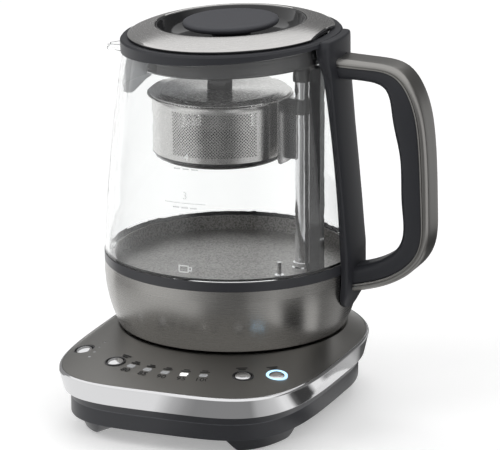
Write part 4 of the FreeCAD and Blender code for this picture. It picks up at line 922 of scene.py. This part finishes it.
def panel_frame(angle_deg, beyond=0.0):
    """Matrix at a point of the sloping plate: x along the arc, y towards the jug, z out."""
    turn = radians(angle_deg - 90)
    radius = CONTROL_RADIUS + beyond
    edge = outline_radius(turn, PLATE_EDGE_OFFSET)
    drop = (PLATE_TOP_Z - TRIM_Z[1]) / (edge - PLATE_SEAT_RADIUS)
    outward = Vector((cos(turn), sin(turn), 0))
    normal = (outward * drop + Vector((0, 0, 1))).normalized()
    side = Vector((-sin(turn), cos(turn), 0))
    inward = normal.cross(side)
    place = outward * radius + Vector((0, 0, PLATE_TOP_Z - drop * (radius - PLATE_SEAT_RADIUS)))
    matrix = Matrix((side, inward, normal)).transposed().to_4x4()
    return Matrix.Translation(place) @ matrix


def text_part(words, height, thickness):
    """Flat letters as (verts, faces), centred, in millimetres."""
    curve = bpy.data.curves.new("letters", "FONT")
    curve.body = words
    curve.size = height / FIGURE_SHARE
    curve.align_x = curve.align_y = "CENTER"
    curve.extrude = thickness / 2
    curve.resolution_u = 6
    item = bpy.data.objects.new("letters", curve)
    mesh = bpy.data.meshes.new_from_object(item)
    part = ([tuple(v.co) for v in mesh.vertices], [list(p.vertices) for p in mesh.polygons])
    bpy.data.objects.remove(item)
    bpy.data.curves.remove(curve)
    bpy.data.meshes.remove(mesh)
    return part


def bar_part(width, height, thickness, x=0.0, y=0.0, steps=8):
    """Thin bar, divided along its length."""
    half, deep = height / 2, thickness / 2
    rings = []
    for step in range(steps + 1):
        across = x + width * (step / steps - 0.5)
        rings.append([(across, y - half, -deep), (across, y + half, -deep),
                      (across, y + half, deep), (across, y - half, deep)])
    return loft(rings, capped=True)


def trim_piece():
    """Polished band round the base with a rounded upper edge."""
    low, high = TRIM_Z
    levels = rounded(((0.0, low, 0.4), (2.72, high - 1.7, 0.5), (2.8, high - 1.45, 0.35),
                      (2.2, high - 0.45, 0.5), (1.35, high, 0.4), (0.95, high, 0.1),
                      (0.92, high - 2.3), (-2.0, high - 2.4), (-2.2, low)), steps=5)
    rings = [outline_ring(lambda angle, level=level: level, OUTLINE_STEPS) for level in levels]
    return loft(rings, wrap=True)


# Skin of the casing: (z, out from the base outline).
SKIN = ((1.0, -11.6), (10.5, -8.0), (14.5, -6.9), (26.5, -1.3))
CASING_BOTTOM_Z = 10.5
LEG_BOTTOM_Z = 1.0
LEG_TURNS = tuple(math.atan2(y, x) for x, y in ((57, -90), (-57, -90), (46, 45), (-46, 45)))
LEG_HALF_TURN = radians(14.0)
LEG_SHOULDER = radians(5.5)
CASING_ROWS = 14
CASING_LIP = 3.8


def leg_share(angle):
    """1 over a leg, 0 between the legs, with a soft shoulder."""
    best = 0.0
    for turn in LEG_TURNS:
        away = abs((angle - turn + pi) % (2 * pi) - pi)
        best = max(best, smoothstep((LEG_HALF_TURN - away) / LEG_SHOULDER))
    return best


def casing_piece():
    """Tapering casing whose skin runs down into four legs with arches between them."""
    top, belly, ground = TRIM_Z[0], CASING_BOTTOM_Z, LEG_BOTTOM_Z

    def foot_z(angle):
        return belly + (ground - belly) * leg_share(angle)

    def skin(share):
        def level(angle):
            z = top + (foot_z(angle) + 0.8 - top) * share
            return interpolate(SKIN, z), z
        return level

    def under(inset, leg_inset):
        def level(angle):
            z = foot_z(angle)
            return interpolate(SKIN, z) - inset - leg_inset * leg_share(angle), z
        return level

    def even(offset, z):
        return lambda angle: (offset, z)
    levels = [even(-CASING_LIP, 11.0), even(-CASING_LIP, top), even(-1.6, top)]
    levels += [skin(step / CASING_ROWS) for step in range(CASING_ROWS + 1)]
    levels += [under(0.8, 0.0), under(3.2, 24.0), even(-48.0, belly)]
    return loft([outline_ring(level, OUTLINE_STEPS) for level in levels], capped=True)


BUTTON_RADIUS = 5.25
BUTTON_TOP = 1.3
BUTTON_CROWN = 1.7
# Domed cap, retaining flange and stem.
BUTTON_PROFILE = [(BUTTON_RADIUS * sin(pi / 2 * share) if share else 0.0,
                   BUTTON_TOP - BUTTON_CROWN * (1 - cos(pi / 2 * share)))
                  for share in [step / 10 for step in range(11)]]
BUTTON_PROFILE += [(BUTTON_RADIUS, BUTTON_TOP - BUTTON_CROWN - 0.3), (BUTTON_RADIUS, -3.15),
                   (BUTTON_RADIUS + 1.15, -3.15), (BUTTON_RADIUS + 1.15, -4.3), (2.2, -4.3),
                   (2.2, -7.0), (0.0, -7.0)]


BEZEL_PROFILE = rounded(((5.62, -3.0), (6.68, -3.0), (6.68, 0.3, 0.25), (6.3, 0.5, 0.25),
                         (5.62, 0.5, 0.3)))
# Steps of a window lens: (share of its outline, z).
LENS_STEPS = ((1.0, -0.4), (1.0, 0.14), (0.96, 0.2), (0.8, 0.24))
DOT_PROFILE = ((0.0, 0.3), (0.5, 0.27), (0.9, 0.16), (0.9, -0.4), (0.0, -0.4))


class TEAMAKER_OT_base(bpy.types.Operator):
    """Build the casing and its trim"""
    bl_idname = "teamaker.base"
    bl_label = "Base"

    def execute(self, context):
        piece("casing_skin", casing_piece(), "Casing Plastic", "base",
              ("base_housing",))
        piece("trim_band", trim_piece(), "Polished Trim", "base", ("base_trim",))
        return {"FINISHED"}


class TEAMAKER_OT_panel(bpy.types.Operator):
    """Build the buttons, bezels, window lenses and printed marks"""
    bl_idname = "teamaker.panel"
    bl_label = "Control Panel"

    def execute(self, context):
        for name, angle in BUTTON_ANGLES.items():
            spot = panel_frame(angle)
            piece(name + "_cap", moved(revolve(BUTTON_PROFILE, 48), spot), "Polished Trim",
                  name + "_key", (name + "_button",))
            lit = name == "start"
            piece(name + "_ring", moved(revolve(BEZEL_PROFILE, 48), spot),
                  "Lit Ring" if lit else "Gloss Black", "base",
                  (name + "_bezel",))
        self.windows()
        self.marks()
        return {"FINISHED"}

    def windows(self):
        """Rounded lenses in the five windows and small round ones for the dots."""
        wide, high = WINDOW_LENS
        corners = rounded([(x, y, 1.0) for x, y in ((-wide, -high), (wide, -high), (wide, high),
                                                    (-wide, high))])
        lens = loft([[(x * share, y * share, z) for x, y in corners] for share, z in LENS_STEPS],
                    capped=True)
        for place, angle in enumerate(WINDOW_ANGLES):
            piece("window_lens_" + WINDOW_NUMBERS[place], moved(lens, panel_frame(angle)),
                  "Lit Window" if place == LIT_WINDOW else "Window Plastic", "base")
        lenses = [moved(revolve(DOT_PROFILE, 20), panel_frame(angle, beyond)) for angle, beyond in DOTS]
        piece("strength_lenses", joined(*lenses), "Window Plastic", "base")

    def marks(self):
        """Numbers and dashes printed on the plate."""
        height = sizes().print_height / MM
        below = Matrix.Translation((0, NUMBER_Y, PANEL_INK))
        parts = [moved(text_part(number, height, PANEL_INK), panel_frame(angle) @ below)
                 for number, angle in zip(WINDOW_NUMBERS, WINDOW_ANGLES)]
        spots = [(angle, 0.0, WINDOW_DASHES) for angle in WINDOW_ANGLES]
        spots += [(angle, beyond, DOT_DASHES) for angle, beyond in DOTS]
        for name, y in BUTTON_DASH_Y.items():
            dashes = ((7.0, 1.1, 0.0, y + 0.4), (4.6, 1.1, 0.0, y - 1.6))
            spots.append((BUTTON_ANGLES[name], 0.0, dashes))
        for angle, beyond, dashes in spots:
            spot = panel_frame(angle, beyond) @ Matrix.Translation((0, 0, PANEL_INK))
            parts += [moved(bar_part(width, tall, PANEL_INK, x, y), spot)
                      for width, tall, x, y in dashes]
        piece("panel_print", joined(*parts), "Dark Print", "base")


GLASS_INK = 0.06
CUP_Z = 104.0
# Bars that draw a cup: (width, height, x, y, steps).
CUP_BARS = ((5.6, 0.7, 0.0, -1.7, 8), (6.8, 0.7, 0.0, 2.3, 8), (0.7, 4.0, -3.0, 0.3, 2),
            (0.7, 4.0, 3.0, 0.3, 2), (1.9, 0.6, 4.2, 1.5, 8), (1.9, 0.6, 4.2, -0.6, 8),
            (0.6, 2.6, 5.2, 0.45, 2))


def on_glass(part, z):
    """Wrap a flat part (x along the arc, y up) onto the front of the glass."""
    verts = []
    for x, y, depth in part[0]:
        height = z + y
        radius = jug_radius(height) + GLASS_INK + depth
        turn = x / jug_radius(height) - pi / 2
        verts.append((radius * cos(turn), radius * sin(turn), height))
    return verts, part[1]


STRAINER_HALF_TURN = radians(60.0)
STRAINER_Z = (191.5, 231.0)
STRAINER_SLOPE = 0.52
STRAINER_RIB = 0.2
STRAINER_STEPS = 58


class TEAMAKER_OT_spout(bpy.types.Operator):
    """Build the strainer that hangs behind the pouring lip"""
    bl_idname = "teamaker.spout"
    bl_label = "Spout Strainer"

    def execute(self, context):
        rings = []
        for step in range(STRAINER_STEPS + 1):
            turn = STRAINER_HALF_TURN * (2 * step / STRAINER_STEPS - 1)
            rise = sqrt(9.0 + (STRAINER_SLOPE * math.degrees(turn)) ** 2) - 3.0
            foot = min(STRAINER_Z[0] + rise, STRAINER_Z[1] - 0.5)
            heights = [foot + (STRAINER_Z[1] - foot) * row / 8 for row in range(9)]
            rib = STRAINER_RIB * (step % 2)
            section = [(jug_radius(z) - 3.4 + rib, z) for z in heights]
            section += [(jug_radius(z) - 4.2, z) for z in reversed(heights)]
            rings.append([(-radius * cos(turn), radius * sin(turn), z) for radius, z in section])
        piece("spout_strainer", loft(rings, capped=True), "Smoke Plastic", "jug",
              ("spout_filter",))
        return {"FINISHED"}


class TEAMAKER_OT_glass_marks(bpy.types.Operator):
    """Print the fill marks on the glass"""
    bl_idname = "teamaker.glass_marks"
    bl_label = "Glass Marks"

    def execute(self, context):
        parts = []
        for number, z, line in (("4", 174.0, 0.0), ("3", 150.0, 27.0)):
            parts.append(on_glass(text_part(number, 4.6, GLASS_INK), z))
            if line:
                parts.append(on_glass(bar_part(line, 0.45, GLASS_INK, steps=24), z - 4.4))
            for x in (-5.8, 0.0, 5.8):
                parts.append(on_glass(bar_part(4.4, 0.9, GLASS_INK, x), z - 7.2))
        parts += [on_glass(bar_part(width, tall, GLASS_INK, x, y, steps), CUP_Z)
                  for width, tall, x, y, steps in CUP_BARS]
        piece("glass_print", joined(*parts), "White Print", "jug")
        return {"FINISHED"}


# One rib round the skirt: (out from its side, up from its middle).
SKIRT_RIB = ((-0.05, -0.55), (0.4, -0.3), (0.55, 0.0), (0.4, 0.3), (-0.05, 0.55))


class TEAMAKER_OT_lid(bpy.types.Operator):
    """Build the lid's steel ring, bowl, knob and skirt"""
    bl_idname = "teamaker.lid"
    bl_label = "Lid"

    def execute(self, context):
        turns = sizes().turns
        flat = (tuple(LID_PLACE @ Vector((LID_CHORD_X, 0, 0))),
                tuple(LID_PLACE.to_3x3() @ Vector((1, 0, 0))))
        outer = 65.0
        ring = [(outer - 0.1, 1.1), (outer, 1.35), (outer, 1.75), (outer - 0.25, 2.1),
                (outer - 1.25, 2.62)]
        ring += arc((outer - 1.35, 2.7), (RECESS_RADIUS + 1.2, 7.3), 0.45, 10)
        ring += [(RECESS_RADIUS + 0.9, 7.34), (RECESS_RADIUS + 0.35, 7.3), (RECESS_RADIUS, 6.9),
                 (RECESS_RADIUS, 6.3), (62.9, 1.7), (62.9, 1.1)]
        lid_ring = piece("lid_steel_ring", moved(revolve(ring, turns), LID_PLACE),
                         ("Spun Steel", "Mirror Steel"), "lid", ("lid_ring",),
                         flat_cut=flat)
        self.polish_edges(lid_ring.data)
        bowl = [(0.0, -7.8), (27.0, -7.8), (38.0, -6.6), (44.6, -2.0), (47.2, 4.8), (47.35, 6.5),
                (47.0, 6.9), (46.3, 6.7), (45.9, 5.4), (44.6, 0.6), (42.0, -2.6), (38.0, -4.6),
                (33.0, -5.7), (27.0, -6.2), (0.0, -6.2)]
        piece("lid_black_bowl", moved(revolve(bowl, turns), LID_PLACE), "Gloss Black", "lid",
              ("lid_bowl",), sharp=50)
        knob = [(0.0, -6.1), (12.4, -6.1), (13.0, -5.7), (12.2, -4.9), (11.7, -3.6), (12.4, -0.6),
                (15.2, 2.3), (19.0, 3.6), (24.0, 3.95), (28.2, 4.2), (29.6, 4.9), (30.25, 6.1),
                (30.25, 7.0), (29.7, 7.9), (28.4, 8.55), (27.0, 8.7), (20.0, 8.6), (10.0, 8.5),
                (0.0, 8.46)]
        piece("lid_disc_knob", moved(revolve(knob, turns), LID_PLACE), "Matt Knob", "lid",
              ("lid_knob",), sharp=50)
        side, inner = RIM_RADIUS - 1.3, RIM_RADIUS - 3.2
        skirt = [(inner, -16.5), (side - 0.6, -16.5)]
        for z in (-15.2, -13.2, -11.2, -9.2, -7.2):
            skirt += [(side + proud, z + up) for proud, up in SKIRT_RIB]
        skirt += [(side, 0.35), (64.0, 0.35), (64.0, 1.0), (side, 1.0), (side, 1.7), (inner, 2.4)]
        piece("lid_ribbed_skirt", moved(revolve(skirt, turns), LID_PLACE), "Gloss Black", "lid",
              ("lid_skirt",), flat_cut=flat)
        return {"FINISHED"}

    def polish_edges(self, mesh):
        """Give the ring's bevels and its straight cut the mirror finish."""
        turn = (PLACE @ LID_PLACE).inverted()
        for face in mesh.polygons:
            centre = turn @ face.center
            radius = math.hypot(centre.x, centre.y)
            if radius > 63.7 or radius < RECESS_RADIUS + 1.0 or centre.x > LID_CHORD_X - 0.01:
                face.material_index = 1


def mesh_wall(first, last, low, high, columns, rows, open_share, radius_at, wall):
    """Piece of the basket wall pierced with diamonds, between two angles and two heights."""
    verts, faces, index = [], [], {}

    def corner(i, j, side):
        key = (round(i, 4), round(j, 4), side)
        if key not in index:
            turn = first + (last - first) * i / columns
            z = low + (high - low) * j / rows
            radius = radius_at(z) - (wall if side else 0.0)
            index[key] = len(verts)
            verts.append((radius * cos(turn), radius * sin(turn), z))
        return index[key]

    def face(points, side):
        faces.append([corner(i, j, side) for i, j in (points if side == 0 else points[::-1])])
    for i in range(columns + 1):
        for j in range(rows + 1):
            if (i + j) % 2:
                continue
            rim = [(i + 1, j), (i, j + 1), (i - 1, j), (i, j - 1)]
            inside = [(a, b) for a, b in rim if 0 <= a <= columns and 0 <= b <= rows]
            if len(inside) < 4:
                if len(inside) == 2:
                    inside.append((i, j))
                for side in (0, 1):
                    face(sorted(inside, key=lambda p: math.atan2(
                        p[1] - sum(q[1] for q in inside) / len(inside),
                        p[0] - sum(q[0] for q in inside) / len(inside))), side)
                continue
            hole = [(i + (a - i) * open_share, j + (b - j) * open_share) for a, b in rim]
            for place in range(4):
                nxt = (place + 1) % 4
                for side in (0, 1):
                    face([rim[place], rim[nxt], hole[nxt], hole[place]], side)
                faces.append([corner(*hole[place], 0), corner(*hole[nxt], 0),
                              corner(*hole[nxt], 1), corner(*hole[place], 1)])
    return verts, faces


def plain_wall(first, last, levels, columns, radius_at, wall):
    """Plain piece of the basket wall: outer and inner skins between two angles."""
    verts, faces = [], []
    width = len(levels)
    for side in range(2):
        start = len(verts)
        for column in range(columns + 1):
            turn = first + (last - first) * column / columns
            radii = [radius_at(z) - (wall if side else 0.0) for z in levels]
            verts += [(radius * cos(turn), radius * sin(turn), z) for radius, z in zip(radii, levels)]
        for column in range(columns):
            for low in range(start + column * width, start + (column + 1) * width - 1):
                loop = [low, low + width, low + width + 1, low + 1]
                faces.append(loop if side == 0 else loop[::-1])
    return verts, faces


SHIELD_RADIUS = BASKET_RADIUS + 3.4
SHIELD_WALL = 0.8
SHIELD_HALF_TURN = radians(17.0)
SHIELD_Z = (BASKET_WALL_Z - 4.2, BASKET_RIM_Z + 0.8)
SHIELD_CORNER = 3.0


def shield_part():
    """Curved plate round the basket's wall about the +X side, with rounded lower corners."""
    low, high = SHIELD_Z
    outer = SHIELD_RADIUS + SHIELD_WALL
    rings = []
    for step in range(25):
        turn = SHIELD_HALF_TURN * (step / 12 - 1)
        into_corner = abs(turn) * SHIELD_RADIUS - SHIELD_HALF_TURN * SHIELD_RADIUS + SHIELD_CORNER
        away = min(max(into_corner / SHIELD_CORNER, 0.0), 1.0)
        foot = low + SHIELD_CORNER * (1 - sqrt(1 - away ** 2))
        section = ((SHIELD_RADIUS, foot + 0.4), (outer, foot), (outer, high - 0.6), (outer - 0.4, high),
                   (SHIELD_RADIUS, high))
        rings.append([(BASKET_X + reach * cos(turn), reach * sin(turn), z) for reach, z in section])
    return loft(rings, capped=True)


BASKET_WALL = 0.6
WINDOW_CENTRES = (-73.5, 46.5, 166.5)
WINDOW_HALF_TURN = radians(38.4)
WINDOW_Z = (BASKET_WALL_Z + 3.0, BASKET_WALL_Z + 32.0)
GAP_STEPS = 20
# Rolled rim of the basket: (radius, below the rim's top).
RIM_PROFILE = ((42.9, 2.2), (43.3, 1.3), (44.2, 0.75), (45.6, 0.6), (45.8, 0.45), (45.8, 0.12),
               (45.6, 0.0), (44.4, 0.05), (43.2, 0.5), (42.6, 1.2), (42.3, 2.2))


def basket_radius(z):
    """Outer radius of the basket's wall, which widens a little upwards."""
    return BASKET_RADIUS + 0.4 * (z - BASKET_WALL_Z) / 34.4


class TEAMAKER_OT_basket(bpy.types.Operator):
    """Build the pierced tea basket, its base, lid and knob"""
    bl_idname = "teamaker.basket"
    bl_label = "Tea Basket"

    def execute(self, context):
        self.wall()
        self.slider()
        self.dish_and_lid()
        return {"FINISHED"}

    def wall(self):
        """Wall with three pierced windows and a rolled rim."""
        low, high = WINDOW_Z
        pitch = sizes().mesh_pitch / MM
        columns = 4 * round(WINDOW_HALF_TURN * BASKET_RADIUS / pitch)
        rows = 2 * round((high - low) / pitch)
        levels = [low] + [low + (high - low) * row / rows for row in range(1, rows, 2)] + [high]
        gap = radians(120.0) - 2 * WINDOW_HALF_TURN
        parts, angles = [], []
        for centre in WINDOW_CENTRES:
            first, last = radians(centre) - WINDOW_HALF_TURN, radians(centre) + WINDOW_HALF_TURN
            parts.append(mesh_wall(first, last, low, high, columns, rows, sizes().mesh_open,
                                   basket_radius, BASKET_WALL))
            parts.append(plain_wall(last, last + gap, levels, GAP_STEPS, basket_radius, BASKET_WALL))
            angles += [first] + [first + (last - first) * i / columns for i in range(1, columns, 2)]
            angles += [last + gap * step / GAP_STEPS for step in range(GAP_STEPS)]
        lower = [(basket_radius(low) - BASKET_WALL, low), (BASKET_RADIUS - BASKET_WALL, BASKET_WALL_Z),
                 (BASKET_RADIUS, BASKET_WALL_Z), (basket_radius(low), low)]
        rim = [(radius, BASKET_RIM_Z - down) for radius, down in RIM_PROFILE]
        upper = [(basket_radius(high), high)] + rim + [(basket_radius(high) - BASKET_WALL, high)]
        for profile in (lower, upper):
            parts.append(loft([[(radius * cos(turn), radius * sin(turn), z) for turn in angles]
                               for radius, z in profile]))
        wall = moved(welded(joined(*parts)), Matrix.Translation((BASKET_X, 0, 0)))
        piece("basket_pierced_wall", wall, "Basket Steel", "basket", ("basket_wall",))

    def slider(self):
        """Steel shield on the basket's side and the black runner on the post."""
        piece("basket_shield", shield_part(), "Basket Steel", "basket",
              ("basket_slider",))
        bore, outer, low, high = 4.55, 5.85, BASKET_RIM_Z - 9.4, BASKET_RIM_Z + 0.2
        ring = revolve([(bore, low), (outer - 0.3, low), (outer, low + 0.4), (outer, high - 0.4),
                        (outer - 0.3, high), (bore, high)], 64, POST_X)
        near, far = BASKET_X + SHIELD_RADIUS + 0.7, POST_X - 4.75
        strip = [[(near, -half, z), (far, -half, z), (far, half, z), (near, half, z)]
                 for z, half in ((BASKET_WALL_Z - 2.8, 1.2), (BASKET_WALL_Z - 2.0, 1.8), (low, 1.8),
                                 (high - 0.3, 1.8))]
        piece("basket_runner", joined(ring, loft(strip, capped=True)), "Gloss Black", "basket")

    def dish_and_lid(self):
        """Black dish below the wall, and the basket's own lid with its knob."""
        turns = sizes().turns
        top, low = BASKET_WALL_Z - 0.1, BASKET_WALL_Z - 4.7
        dish = [(0.0, low + 0.7), (23.0, low + 0.1), (25.0, low), (36.0, low), (39.0, low + 0.5),
                (41.3, low + 1.9), (42.4, low + 3.7), (42.5, top - 0.2), (42.3, top), (41.6, top),
                (40.4, top - 1.4), (37.6, top - 2.4), (24.0, low + 2.0), (0.0, low + 2.4)]
        piece("basket_dish", revolve(dish, turns, BASKET_X), "Gloss Black", "basket",
              ("basket_base",), sharp=45)
        low = BASKET_RIM_Z + 0.3
        lid = [(0.0, low + 1.0), (36.9, low + 1.0), (44.5, low), (44.6, low + 0.2), (44.6, low + 0.6),
               (44.4, low + 0.8), (38.0, low + 1.7), (37.2, low + 1.8), (36.4, low + 1.8),
               (0.0, low + 1.8)]
        piece("basket_mirror_lid", revolve(lid, turns, BASKET_X), "Spun Steel", "basket_cover",
              ("basket_lid",), sharp=20)
        low += 1.9
        knob = [(0.0, low), (7.6, low), (7.9, low + 0.3), (7.9, low + 5.6), (7.7, low + 6.2),
                (7.2, low + 6.6), (6.4, low + 6.8), (0.0, low + 7.2)]
        piece("basket_lid_knob", revolve(knob, 96, BASKET_X), "Gloss Black", "basket_cover",
              ("basket_knob",), sharp=50)


def welded(part, reach=0.002):
    """Join vertices that lie together."""
    bm = bmesh.new()
    mesh = bpy.data.meshes.new("weld")
    mesh.from_pydata(part[0], [], part[1])
    bm.from_mesh(mesh)
    bmesh.ops.remove_doubles(bm, verts=bm.verts, dist=reach)
    bm.verts.index_update()
    result = [tuple(v.co) for v in bm.verts], [[v.index for v in f.verts] for f in bm.faces]
    bm.free()
    bpy.data.meshes.remove(mesh)
    return result


def trimmed(line):
    """The handle line without the ends that lie inside the spine."""
    middle = (line[0][1] + line[-1][1]) / 2
    kept = [(x, z) for x, z in line if x > (HANDLE_TOP_CUT if z > middle else HANDLE_LOW_CUT)]
    return evenly(kept, HANDLE_SECTIONS)


def section_ring(inner, outer, sides):
    """Section of the handle from (reach, half width) pairs along inner to outer."""
    start = Vector((inner[0], 0, inner[1]))
    along = Vector((outer[0], 0, outer[1])) - start
    pairs = sides(along.length)
    along.normalize()
    pairs += [(reach, -width) for reach, width in reversed(pairs)]
    return [tuple(start + along * reach + Vector((0, width, 0))) for reach, width in pairs]


def cover_sides(length):
    """Broad cover with a groove that leaves a thin strip beside the grip."""
    strip = [(0.0, 11.0), (0.15, 11.15), (0.75, 11.15), (0.9, 11.0), (0.95, 10.2), (1.45, 10.2),
             (1.5, 11.0), (1.65, COVER_HALF_WIDTH)]
    crown = [(length - COVER_CORNER * (1 - sin(turn)),
              COVER_HALF_WIDTH - COVER_CORNER * (1 - cos(turn)))
             for turn in [pi / 2 * step / 6 for step in range(7)]]
    return strip + crown + [(length, 4.0)]


def grip_sides(length):
    """Grip that is rounded towards the hand."""
    inner = [(GRIP_CORNER * (1 - cos(turn)), GRIP_HALF_WIDTH - GRIP_CORNER * (1 - sin(turn)))
             for turn in [pi / 2 * step / 7 for step in range(8)]]
    return [(0.0, 3.0)] + inner + [(length - 0.2, GRIP_HALF_WIDTH), (length, GRIP_HALF_WIDTH - 0.2)]


class TEAMAKER_OT_handle(bpy.types.Operator):
    """Build the handle's spine, grip and brushed cover"""
    bl_idname = "teamaker.handle"
    bl_label = "Handle"

    def execute(self, context):
        outer, inner = (trimmed(spline(line, HANDLE_POINTS)) for line in (HANDLE_OUTER, HANDLE_INNER))
        cover, grip = [], []
        for top, bottom in zip(outer, inner):
            down = (Vector(bottom) - Vector(top)).normalized()
            cover.append(section_ring(Vector(top) + down * COVER_DEPTH, top, cover_sides))
            grip.append(section_ring(bottom, Vector(top) + down * (COVER_DEPTH + 0.15), grip_sides))
        piece("handle_brushed_cover", loft(cover, capped=True), "Cover Gunmetal", "jug",
              ("handle_cover",), sharp=38)
        for name, part, node, sharp in (
                ("handle_soft_grip", loft(grip, capped=True), "handle_grip", 50),
                ("handle_spine_bar", self.spine(), "handle_spine", 50),
                ("rim_collar", self.collar(), "jug_collar", 32)):
            piece(name, part, "Charcoal Plastic", "jug", (node,), sharp)
        return {"FINISHED"}

    def spine(self):
        """Broad bar on the jug's side, with a tongue below and a rounded head at the rim."""
        low, high = SPINE_Z
        levels = [low + (high - low) * step / SPINE_STEPS for step in range(SPINE_STEPS + 1)]
        rings = [self.spine_section(z, z, 0.0) for z in levels]
        for turn in [pi / 2 * step / 5 for step in range(1, 6)]:
            rings.append(self.spine_section(high, high + SPINE_ROUNDING[0] * sin(turn),
                                            SPINE_ROUNDING[0] * (1 - cos(turn))))
        return loft(rings, capped=True)

    def spine_section(self, z, level, inset):
        """Ring of the bar's section for one height, drawn in by an inset."""
        back = jug_radius(z) + SPINE_GAP if z < COLLAR_TOUCH_Z else COLLAR_REACH
        below = min((z - SPINE_Z[0]) / SPINE_TONGUE, 1.0)
        head = smoothstep((z - HEAD_Z[0]) / (HEAD_Z[1] - HEAD_Z[0]))
        depth = interpolate(SPINE_FACE, z) - inset - back
        face = back + depth * (0.35 + 0.65 * smoothstep(below))
        half = TONGUE_TIP + (SPINE_HALF_WIDTH[0] - TONGUE_TIP) * sqrt(1 - (1 - below) ** 2)
        half += (SPINE_HALF_WIDTH[1] - SPINE_HALF_WIDTH[0]) * head - inset
        corner = SPINE_ROUNDING[0] + (SPINE_ROUNDING[1] - SPINE_ROUNDING[0]) * head
        corner = min(corner, 0.8 * (face - back))
        turn, round_turn = half / back, corner / face
        quarter = [pi / 2 * step / 5 for step in range(6)]
        edge = [(turn - round_turn * (1 - cos(share)), face - corner * (1 - sin(share)))
                for share in quarter]
        line = [(turn * (step / 5 - 1), back) for step in range(11)] + edge
        line += [(share * turn, face) for share in (0.6, 0.2, -0.2, -0.6)]
        line += [(-angle, radius) for angle, radius in reversed(edge)]
        return [(radius * cos(angle), radius * sin(angle), level) for angle, radius in line]

    def collar(self):
        """Collar over the glass rim, level underneath and deeper towards the spout."""
        outer, slope = RIM_RADIUS + 7.0, math.tan(COLLAR_SLOPE)
        profile = ((RIM_RADIUS, 0.0), (outer - 1.0, 0.0), (outer, -1.2), (outer, None),
                   (RIM_RADIUS + 5.4, None), (RIM_RADIUS + 3.6, -2.6), (RIM_RADIUS, -2.6))
        turns = [2 * pi * step / COLLAR_STEPS for step in range(COLLAR_STEPS)]
        low = [max(-9.2, -6.0 + outer * cos(turn) * slope) for turn in turns]
        rings = [[(radius * cos(turn), radius * sin(turn), foot if z is None else z)
                  for turn, foot in zip(turns, low)] for radius, z in profile]
        return moved(loft(rings, wrap=True), LID_PLACE)


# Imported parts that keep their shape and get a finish.
CARRIED = {
    "Plate Gunmetal": ("base_plate",),
    "Foot Gunmetal": ("jug_shell",),
    "Band Plastic": ("jug_band", "cord_gland"),
    "Charcoal Plastic": ("jug_cover", "pan_support", "connector_socket", "connector_turret"),
    "Gloss Black": ("lid_seal", "post_cap", "guide_rail"),
    "Clear Glass": ("glass_jug",),
    "Pan Steel": ("heating_pan",),
    "Spreader Aluminium": ("heat_spreader", "heating_element"),
    "Polished Trim": ("post_tube", "post_foot", "temperature_probe", "lift_magnet"),
    "Brass": ("base_live_ring", "earth_pin", "jug_live_ring"),
    "Rubber": ("rubber_foot_front_left", "rubber_foot_front_right", "rubber_foot_rear_left",
               "rubber_foot_rear_right"),
    "Window Plastic": ("temperature_light_guide", "strength_light_guide"),
    "Board": ("control_board", "power_board"),
    "Switch Plastic": ("relay", "thermostat", "strength_switch", "tea_switch", "warm_switch",
                       "start_switch"),
}


class TEAMAKER_OT_carried(bpy.types.Operator):
    """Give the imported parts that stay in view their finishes"""
    bl_idname = "teamaker.carried"
    bl_label = "Packed Parts"

    def execute(self, context):
        for name, nodes in CARRIED.items():
            for node in nodes:
                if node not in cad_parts:
                    raise RuntimeError("the packed model has no node named " + node)
                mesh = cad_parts[node].data
                mesh.materials.clear()
                mesh.materials.append(finish(name))
        return {"FINISHED"}


class TEAMAKER_OT_stage(bpy.types.Operator):
    """Set up the table, cards, lamps, surroundings and camera"""
    bl_idname = "teamaker.stage"
    bl_label = "Stage"

    def execute(self, context):
        settings = context.scene.tea_maker_stage
        context.scene.view_settings.view_transform = "Standard"
        make_floor(settings)
        make_cards(settings)
        make_world()
        make_lamps(settings)
        make_camera(settings)
        return {"FINISHED"}


STEPS = (TEAMAKER_OT_stage, TEAMAKER_OT_carried, TEAMAKER_OT_base, TEAMAKER_OT_panel, TEAMAKER_OT_lid,
         TEAMAKER_OT_basket, TEAMAKER_OT_handle, TEAMAKER_OT_spout, TEAMAKER_OT_glass_marks)


class TEAMAKER_PT_steps(bpy.types.Panel):
    """Buttons for each group of pieces"""
    bl_idname = "TEAMAKER_PT_steps"
    bl_label = "Tea Maker"
    bl_space_type = "VIEW_3D"
    bl_region_type = "UI"
    bl_category = "Tea Maker"

    def draw(self, context):
        for step in STEPS:
            self.layout.operator(step.bl_idname)


CLASSES = (TeaMakerSizes, TeaMakerColours, TeaMakerStage) + STEPS + (TEAMAKER_PT_steps,)


def register():
    """Make the settings, steps and panel known to Blender."""
    for item in CLASSES:
        bpy.utils.register_class(item)
    bpy.types.Scene.tea_maker_sizes = PointerProperty(type=TeaMakerSizes)
    bpy.types.Scene.tea_maker_colours = PointerProperty(type=TeaMakerColours)
    bpy.types.Scene.tea_maker_stage = PointerProperty(type=TeaMakerStage)


def unregister():
    """Take the settings, steps and panel away again."""
    del bpy.types.Scene.tea_maker_stage
    del bpy.types.Scene.tea_maker_colours
    del bpy.types.Scene.tea_maker_sizes
    for item in reversed(CLASSES):
        bpy.utils.unregister_class(item)


def main():
    """Build everything in order."""
    register()
    for step in STEPS:
        area, verb = step.bl_idname.split(".")
        getattr(getattr(bpy.ops, area), verb)()


if __name__ == "__main__":
    main()
